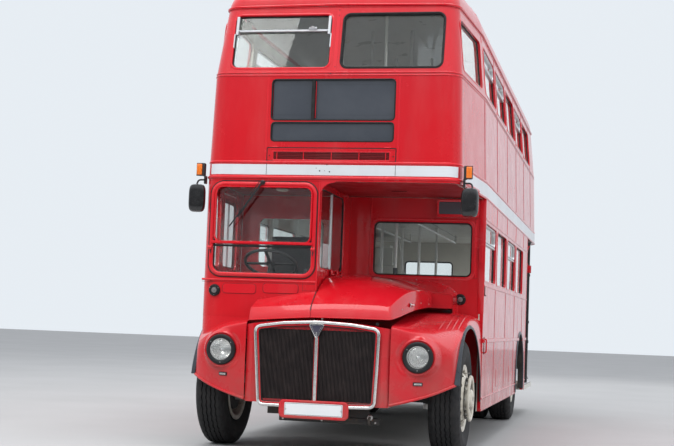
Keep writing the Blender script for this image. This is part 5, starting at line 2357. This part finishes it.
# ------------------------------------------------------------------ inside the cab
b = Build()
b.add(lim(-1.085, -.125, CABF + .048, CABF + .175, 1.405, 1.500, .012), 0)
b.add(lim(-.960, -.300, CABF + .120, CABF + .200, 1.440, 1.512, .010), 0)
for i, (x, r) in enumerate(((-.88, .030), (-.77, .042), (-.46, .042), (-.37, .030))):
    b.add(lathe([(0, r), (.010, r), (.013, r - .004), (.006, r - .006), (.006, 0), (0, 0)], (x, CABF + .188, 1.512),
                (0, .35, .94), 28, closed=False), 1)
for x in np.linspace(-.70, -.54, 5):
    b.add(lathe([(0, 0), (0, .0075), (.010, .0075), (.012, .005), (.012, 0)], (x, CABF + .192, 1.512), (0, .2, .98), 12,
                closed=False), 2)
b.add(lim(-1.080, -.130, CABF + .050, CABF + .060, 1.200, 1.410, .003), 3)
# hand brake, bell and small switch boxes, grab handle
b.add(tube([(-.30, FA - .12, 1.18), (-.30, FA - .15, 1.50), (-.29, FA - .155, 1.60)], [.012, .012, .014], 10), 0)
b.add(lim(-.150, -.118, FA - .36, FA - .20, 1.42, 1.56, .008), 0)
b.add(lathe([(0, 0), (0, .045), (.012, .045), (.024, .030), (.028, 0)], (-.80, CABF + .060, 2.33), (0, 1, 0), 24,
            closed=False), 2)
b.add(lathe([(0, 0), (0, .060), (.010, .060), (.020, .040), (.022, 0)], (-.60, FA + .10, 2.344), (0, 0, -1), 24,
            closed=False), 4)
# pedals and floor mat
for x in (-.76, -.62, -.48):
    b.add(box((x, CABF + .16, 1.235), (.070, .012, .090), .004), 5)
    b.add(tube([(x, CABF + .165, 1.20), (x, CABF + .120, 1.160)], .008, 8), 2)
b.add(lim(-1.05, -.14, CABF + .08, FA + .55, 1.1815, 1.1855, .001), 5)
b.make("cab_fittings", ["dash", "chrome", "steel", "lining_red", "lining", "rubber"], angle=40)

# ------------------------------------------------------------------ saloon and platform fittings
roof_tree = bvh_of(NODES["roof"].data) if "roof" in NODES else None
b = Build()
for y in np.arange(FA + .35, PLATF - .1, 1.16):
    for x in (-.62, .62):
        if y > BULK + .1:
            b.add(lathe([(0, 0), (0, .052), (.004, .056), (.012, .050), (.022, .034), (.028, .014), (.029, 0)],
                        (x, y, 2.3490), (0, 0, -1), 28, closed=False), 0)
        hit, nrm, _, _ = roof_tree.ray_cast(Vector((x, y, 3.2)), Vector((0, 0, 1)), 2.0)
        if hit is not None:
            b.add(lathe([(-.002, 0), (-.002, .052), (.004, .056), (.012, .050), (.022, .034), (.028, .014), (.029, 0)],
                        tuple(hit), (nrm.x, nrm.y, nrm.z) if nrm.z < 0 else (-nrm.x, -nrm.y, -nrm.z), 28, closed=False), 0)
# longitudinal grab rails under both ceilings
for x in (-.30, .30):
    b.add(tube(rounded([(x, BULK + .25, 2.340), (x, BULK + .25, 2.235), (x, PLATF - .35, 2.235), (x, PLATF - .35, 2.340)],
                       .05, 5), .0125, 10), 1)
# bell cord along the nearside
b.add(tube([(.30, BULK + .10, 2.325)] + [(.30, BULK + .10 + t * 4.9, 2.325 - .012 * math.sin(math.pi * (t * 5 % 1)))
                                        for t in np.linspace(.02, .98, 26)] + [(.30, PLATF - .24, 2.325)], .0022, 6), 3)
# rims of the poles at floor and ceiling
for z0, z1, ys in ((.701, 2.348, (1.620, 3.140, 4.500)), (2.455, 4.3, (.700, 2.170, 3.640, 5.110))):
    for yy in ys:
        for x in (-.215, .215):
            b.add(lathe([(0, .016), (0, .036), (.005, .036), (.010, .022), (.022, .0175), (.022, .016)],
                        (x, FA + yy, z0), (0, 0, 1), 20), 1)
            if z1 < 3:
                b.add(lathe([(0, .016), (0, .036), (.005, .036), (.010, .022), (.022, .0175), (.022, .016)],
                            (x, FA + yy, z1), (0, 0, -1), 20), 1)
            b.add(lathe([(0, .0162), (0, .0235), (.060, .0235), (.060, .0162)], (x, FA + yy, z0 + .95), (0, 0, 1), 16), 3)
b.make("saloon_fittings", ["lining", "pole", "steel", "rubber"], angle=40)

# platform: slatted cover, white edge, pole fittings and the curved rail with its plain box
b = Build()
plat_tree = bvh_of(NODES["rear_platform"].data)
for y in np.arange(PLATF + .03, 3.90, .046):
    hit, _, _, _ = plat_tree.ray_cast(Vector((.6, y, 1.2)), Vector((0, 0, -1)), 2)
    if hit is None:
        continue
    b.add(lim(-.50, 1.125, y, y + .026, hit.z - .001, hit.z + .006, .0015), 0)
hit, _, _, _ = plat_tree.ray_cast(Vector((.9, PLATF + .5, 1.2)), Vector((0, 0, -1)), 2)
zt = hit.z if hit is not None else .40
b.add(lim(1.128, 1.206, PLATF + .01, 3.90, zt - .001, zt + .007, .002), 1)
b.add(lathe([(0, .019), (0, .036), (.006, .036), (.012, .026), (.030, .021), (.030, .019)], (1.180, FA + 6.78, .462),
            (0, 0, 1), 24), 2)
b.add(lathe([(0, .019), (0, .036), (.006, .036), (.012, .026), (.030, .021), (.030, .019)], (1.180, FA + 6.78, 2.346),
            (0, 0, -1), 24), 2)
for z in (.95, 1.22, 1.87):
    b.add(lathe([(0, .0192), (0, .0265), (.036, .0265), (.036, .0192)], (1.180, FA + 6.78, z), (0, 0, 1), 18), 2)
# red box on the platform pole and the curved rail above it
b.add(box((1.180, FA + 6.78, 1.970), (.0745, .0745, .1045), .006, 3), 4)
b.add(tube(rounded([(1.180, FA + 6.760, 2.290), (1.150, FA + 6.700, 2.200), (1.150, FA + 6.700, 2.080),
                    (1.170, FA + 6.745, 2.015)], .04, 5), .011, 10), 4)
# upright grab rails at the saloon entrance
for x in (.56, .98):
    b.add(tube(rounded([(x, PLATF - .01, .80), (x, PLATF + .055, .80), (x, PLATF + .055, 1.75), (x, PLATF - .01, 1.75)], .04, 5),
               .013, 10), 3)
# stair edges and hand rail
st_tree = bvh_of(NODES["staircase"].data)
RISE = (2.352 + .052 - .40 - .060) / 9
for i in range(8):
    z = .40 + .060 + RISE * (i + 1)
    y1 = PLATF + 1.230 - .205 * i
    b.add(lim(-1.112, -.568, y1 - .030, y1 + .003, z - .012, z + .0035, .0015), 1)
b.add(tube(rounded([(-.545, PLATF + 1.10, 1.00), (-.545, PLATF + 1.10, 1.45), (-.545, PLATF + .10, 2.30)], .06, 5), .0125, 10), 3)
b.make("platform_fittings", ["slat", "white", "plastic", "pole", "red_trim"], angle=40)

# ------------------------------------------------------------------ rear: window surrounds, lamps, plain plates
b = Build()
hoop(b, on_rear, 0, 3.574, 1.240, .488, .060, [(-.022, -.030), (-.022, -.010), (-.014, .004), (.004, .006), (.014, .003),
                                             (.016, -.002), (.0, -.030)], 0, 8)
hoop(b, on_rear, 0, 3.574, 1.300, .548, .075, [(-.006, -.001), (-.006, .006), (.006, .006), (.006, -.001)], 1, 8)
for x in (-.30, .30):
    p, _, _, n = on_rear(x, 3.325)
    b.add(box(p + n * .008, (.060, .018, .034), .005, 3), 3)
for x in (-.42, .42):
    b.add(box(on_rear(x, 3.842)[0] + np.array((0, .010, 0)), (.12, .020, .020), .006, 3), 3)
p, _, _, n = on_rear(.52, 3.40)
b.add(tube(rounded([p, p + n * .035, p + n * .035 + np.array((0, 0, .12)), p + np.array((0, 0, .12))], .012), .007, 8), 3)
hoop(b, on_rear, -.330, 1.840, .720, .480, .060, [(-.022, -.030), (-.022, -.010), (-.014, .004), (.004, .006), (.014, .003),
                                                (.016, -.002), (.0, -.030)], 0, 8)
hoop(b, on_rear, 0, 2.770, .760, .260, .020, [(-.019, -.016), (-.019, -.003), (-.013, .004), (.004, .006), (.011, .001),
                                            (.011, -.003)], 0, 8)
patch(b, flat(4.1862, 1), 0, 2.770, .740, .240, .015, -.0010, .0030, 2)
# rear lamps with rings on both sides, blank plate, reflectors
for x, z in ((-1.02, .80), (-1.02, .66), (.30, .80), (.30, .66)):
    p, _, _, n = on_rear(x if abs(x) < .9 else -.86, z)
    b.add(lathe([(-.002, .036), (-.002, .050), (.008, .050), (.013, .046), (.014, .040), (.010, .036)], p, n, 36), 5)
    b.add(lathe([(0, 0), (0, .038), (.010, .038), (.018, .030), (.022, .015), (.023, 0)], p, n, 32, closed=False),
          4 if z > .7 else 7)
for x in (-.86, .30):
    p, _, _, n = on_rear(x, .53)
    b.add(lathe([(0, 0), (0, .030), (.006, .030), (.008, .024), (.008, 0)], p, n, 28, closed=False), 4)
patch(b, on_rear, -.30, .98, .560, .170, .012, -.001, .004, 5)
patch(b, on_rear, -.30, .98, .520, .130, .010, .003, .0065, 6)
hoop(b, on_rear, -.30, .98, .500, .110, .008, [(-.0015, .006), (-.0015, .0074), (.0015, .0074), (.0015, .006)], 5)
for x in (-.53, -.07):
    p, _, _, n = on_rear(x, .98)
    dome(b, p + n * .0062, n, .007, .004, 3, 10)
rod(b, on_rear, -.90, 1.24, .36, 1.24, strip(.003, .0008), 0)
hoop(b, on_rear, -.30, 1.34, .50, .16, .020, [(.0002, -.001), (.0002, .0012), (.003, .0012), (.003, -.001)], 0, 6)
hoop(b, on_rear, -.62, .74, .30, .36, .020, [(.0002, -.001), (.0002, .0012), (.003, .0012), (.003, -.001)], 0, 6)
b.make("rear_detail", ["rubber", "red_trim", "blindglass", "chrome", "redlens", "ring", "plate", "amber"], angle=38)

# ------------------------------------------------------------------ roof: cover strips laid on the skin
b = Build()
for Y in [FA + y for y in (-.05, .70, 1.86, 3.01, 4.165, 5.32, 6.475)]:
    P, N = [], []
    for x in np.concatenate([np.linspace(-1.08, -.7, 8), np.linspace(-.62, .62, 17), np.linspace(.7, 1.08, 8)]):
        hit, nrm, _, _ = roof_tree.ray_cast(Vector((x, Y, 6.0)), Vector((0, 0, -1)), 3.0)
        if hit is not None and hit.z > 3.93:
            P.append(tuple(hit))
            N.append(tuple(nrm if nrm.z > 0 else -nrm))
    if len(P) > 3:
        P, N = np.array(P), np.array(N)
        T = np.gradient(P, axis=0)
        T /= np.linalg.norm(T, axis=1)[:, None]
        A = np.cross(N, T)
        b.add(sweep(P, A, N, strip(.026, .003)), 0)
b.make("roof_cover_strips", ["red_roof"], angle=40)

# ------------------------------------------------------------------ cab door: window rubber, handle, edge bead, lock
def door_skin(y, z):
    t = (y - (FA - .05)) / .69
    e = np.array((-.045 / .69, 1.0, 0))
    e /= np.linalg.norm(e)
    n = np.array((-1.0, -.045 / .69, 0))
    n /= np.linalg.norm(n)
    return np.array((-(1.1653 + .045 * t), y, z)), e, np.array((0, 0, 1.0)), n


b = Build()
hoop(b, door_skin, FA + .295, 1.915, .540, .630, .055, [(-.018, -.020), (-.018, -.006), (-.010, .003), (.003, .005),
                                                       (.010, .002), (.011, -.002), (.0, -.020)], 1, 7)
hoop(b, door_skin, FA + .295, 1.7275, .672, 1.107, .030, [(-.010, -.002), (-.010, .0030), (-.002, .0030), (-.001, -.002)], 0, 6)
rod(b, door_skin, FA - .02, 1.471, FA + .61, 1.471, half_round(.018, .006), 0)
rod(b, door_skin, FA + .295, 1.61, FA + .295, 2.22, [(-.010, -.018), (-.010, -.004), (.010, -.004), (.010, -.018)], 3)
p, e, u, n = door_skin(FA + .565, 1.385)
b.add(lathe([(-.001, 0), (-.001, .026), (.004, .026), (.007, .018), (.012, .012), (.024, .011), (.024, 0)], p, n, 24,
            closed=False), 2)
b.add(tube(rounded([p + n * .018, p + n * .026, p + n * .026 - e * .105 - u * .006, p + n * .016 - e * .118], .012), .0065, 8), 2)
b.add(tube(rounded([p - e * .30 + n * .0, p - e * .30 + n * .030, p - e * .30 + n * .030 + u * .22, p - e * .30 + u * .22],
                   .015), .008, 8), 2)
for z in (1.29, 1.73, 2.17):
    q, e, u, n = door_skin(FA + .01, z)
    for dz in (-.02, .02):
        dome(b, q + u * dz + n * .0155, n, .005, .003, 2, 8)
b.make("cab_door_trim", ["red_trim", "rubber", "chrome", "alu"], "cab_door", angle=38)


# ------------------------------------------------------------------ floor, light and finish
floor = bpy.data.meshes.new("floor")
floor.from_pydata([(-40, -40, 0), (40, -40, 0), (40, 60, 0), (-40, 60, 0)], [], [(0, 1, 2, 3)])
g = Graph("studio_floor")
g.shade(g.mix(g.span(g.noise(0.6, 3.0), 0.3, 0.7), (0.36, 0.36, 0.36), (0.39, 0.39, 0.39)), 0.75, spec=0.2)
floor.materials.append(g.mat)
floor_ob = bpy.data.objects.new("studio_floor", floor)
bpy.context.scene.collection.objects.link(floor_ob)


def area(name, at, to, size, power, colour=(1, 1, 1)):
    d = bpy.data.lights.new(name, "AREA")
    d.shape = "RECTANGLE"
    d.size, d.size_y = size
    d.energy = power
    d.color = colour
    o = bpy.data.objects.new(name, d)
    bpy.context.scene.collection.objects.link(o)
    o.location = at
    o.rotation_euler = (Vector(to) - Vector(at)).to_track_quat("-Z", "Y").to_euler()
    return o


area("key", (-8, -15, 14), (0, -2, 1.5), (8, 8), 1850, (1.0, 0.985, 0.96)).visible_glossy = False
area("fill", (14, -9, 6), (0, 0, 1.5), (6, 6), 850, (0.98, 0.98, 1.0)).visible_glossy = False
area("top", (0, -3, 15), (0, -1, 0), (10, 16), 1600)
area("back", (3, 15, 9), (0, 2, 2), (12, 8), 500).visible_glossy = False

# soft room: darker ahead of the nose, brighter overhead and behind; the camera sees an even pale backdrop
world = bpy.data.worlds.new("World")
bpy.context.scene.world = world
world.use_nodes = True
wt = world.node_tree
wt.nodes.clear()


def wnode(kind, **props):
    nd = wt.nodes.new(kind)
    for k, v in props.items():
        setattr(nd, k, v)
    return nd


tc = wnode("ShaderNodeTexCoord")
sep = wnode("ShaderNodeSeparateXYZ")
wt.links.new(tc.outputs["Generated"], sep.inputs[0])
along = wnode("ShaderNodeMapRange", interpolation_type="SMOOTHSTEP")
for i, v in ((1, -0.9), (2, 0.9), (3, 0.14), (4, 0.80)):
    along.inputs[i].default_value = v
wt.links.new(sep.outputs["Y"], along.inputs[0])
up = wnode("ShaderNodeMapRange", interpolation_type="SMOOTHSTEP")
for i, v in ((1, 0.02), (2, 0.55), (3, 0.0), (4, 1.0)):
    up.inputs[i].default_value = v
wt.links.new(sep.outputs["Z"], up.inputs[0])
mixn = wnode("ShaderNodeMix", data_type="FLOAT")
wt.links.new(up.outputs[0], mixn.inputs[0])
wt.links.new(along.outputs[0], mixn.inputs[2])
mixn.inputs[3].default_value = 1.10
bg = wnode("ShaderNodeBackground")
bg.inputs["Color"].default_value = (0.90, 0.94, 1.0, 1.0)
wt.links.new(mixn.outputs[0], bg.inputs["Strength"])
back = wnode("ShaderNodeBackground")
back.inputs["Color"].default_value = (0.80, 0.85, 0.90, 1.0)
back.inputs["Strength"].default_value = 1.0
path = wnode("ShaderNodeLightPath")
ms = wnode("ShaderNodeMixShader")
wo = wnode("ShaderNodeOutputWorld")
seen = wnode("ShaderNodeMath", operation="MAXIMUM")
wt.links.new(path.outputs["Is Camera Ray"], seen.inputs[0])
wt.links.new(path.outputs["Is Transmission Ray"], seen.inputs[1])
wt.links.new(seen.outputs[0], ms.inputs[0])
wt.links.new(bg.outputs[0], ms.inputs[1])
wt.links.new(back.outputs[0], ms.inputs[2])
wt.links.new(ms.outputs[0], wo.inputs["Surface"])

scene = bpy.context.scene
scene.view_settings.view_transform = "Standard"
scene.view_settings.look = "None"
scene.view_settings.exposure = 0.0
scene.view_settings.gamma = 1.0
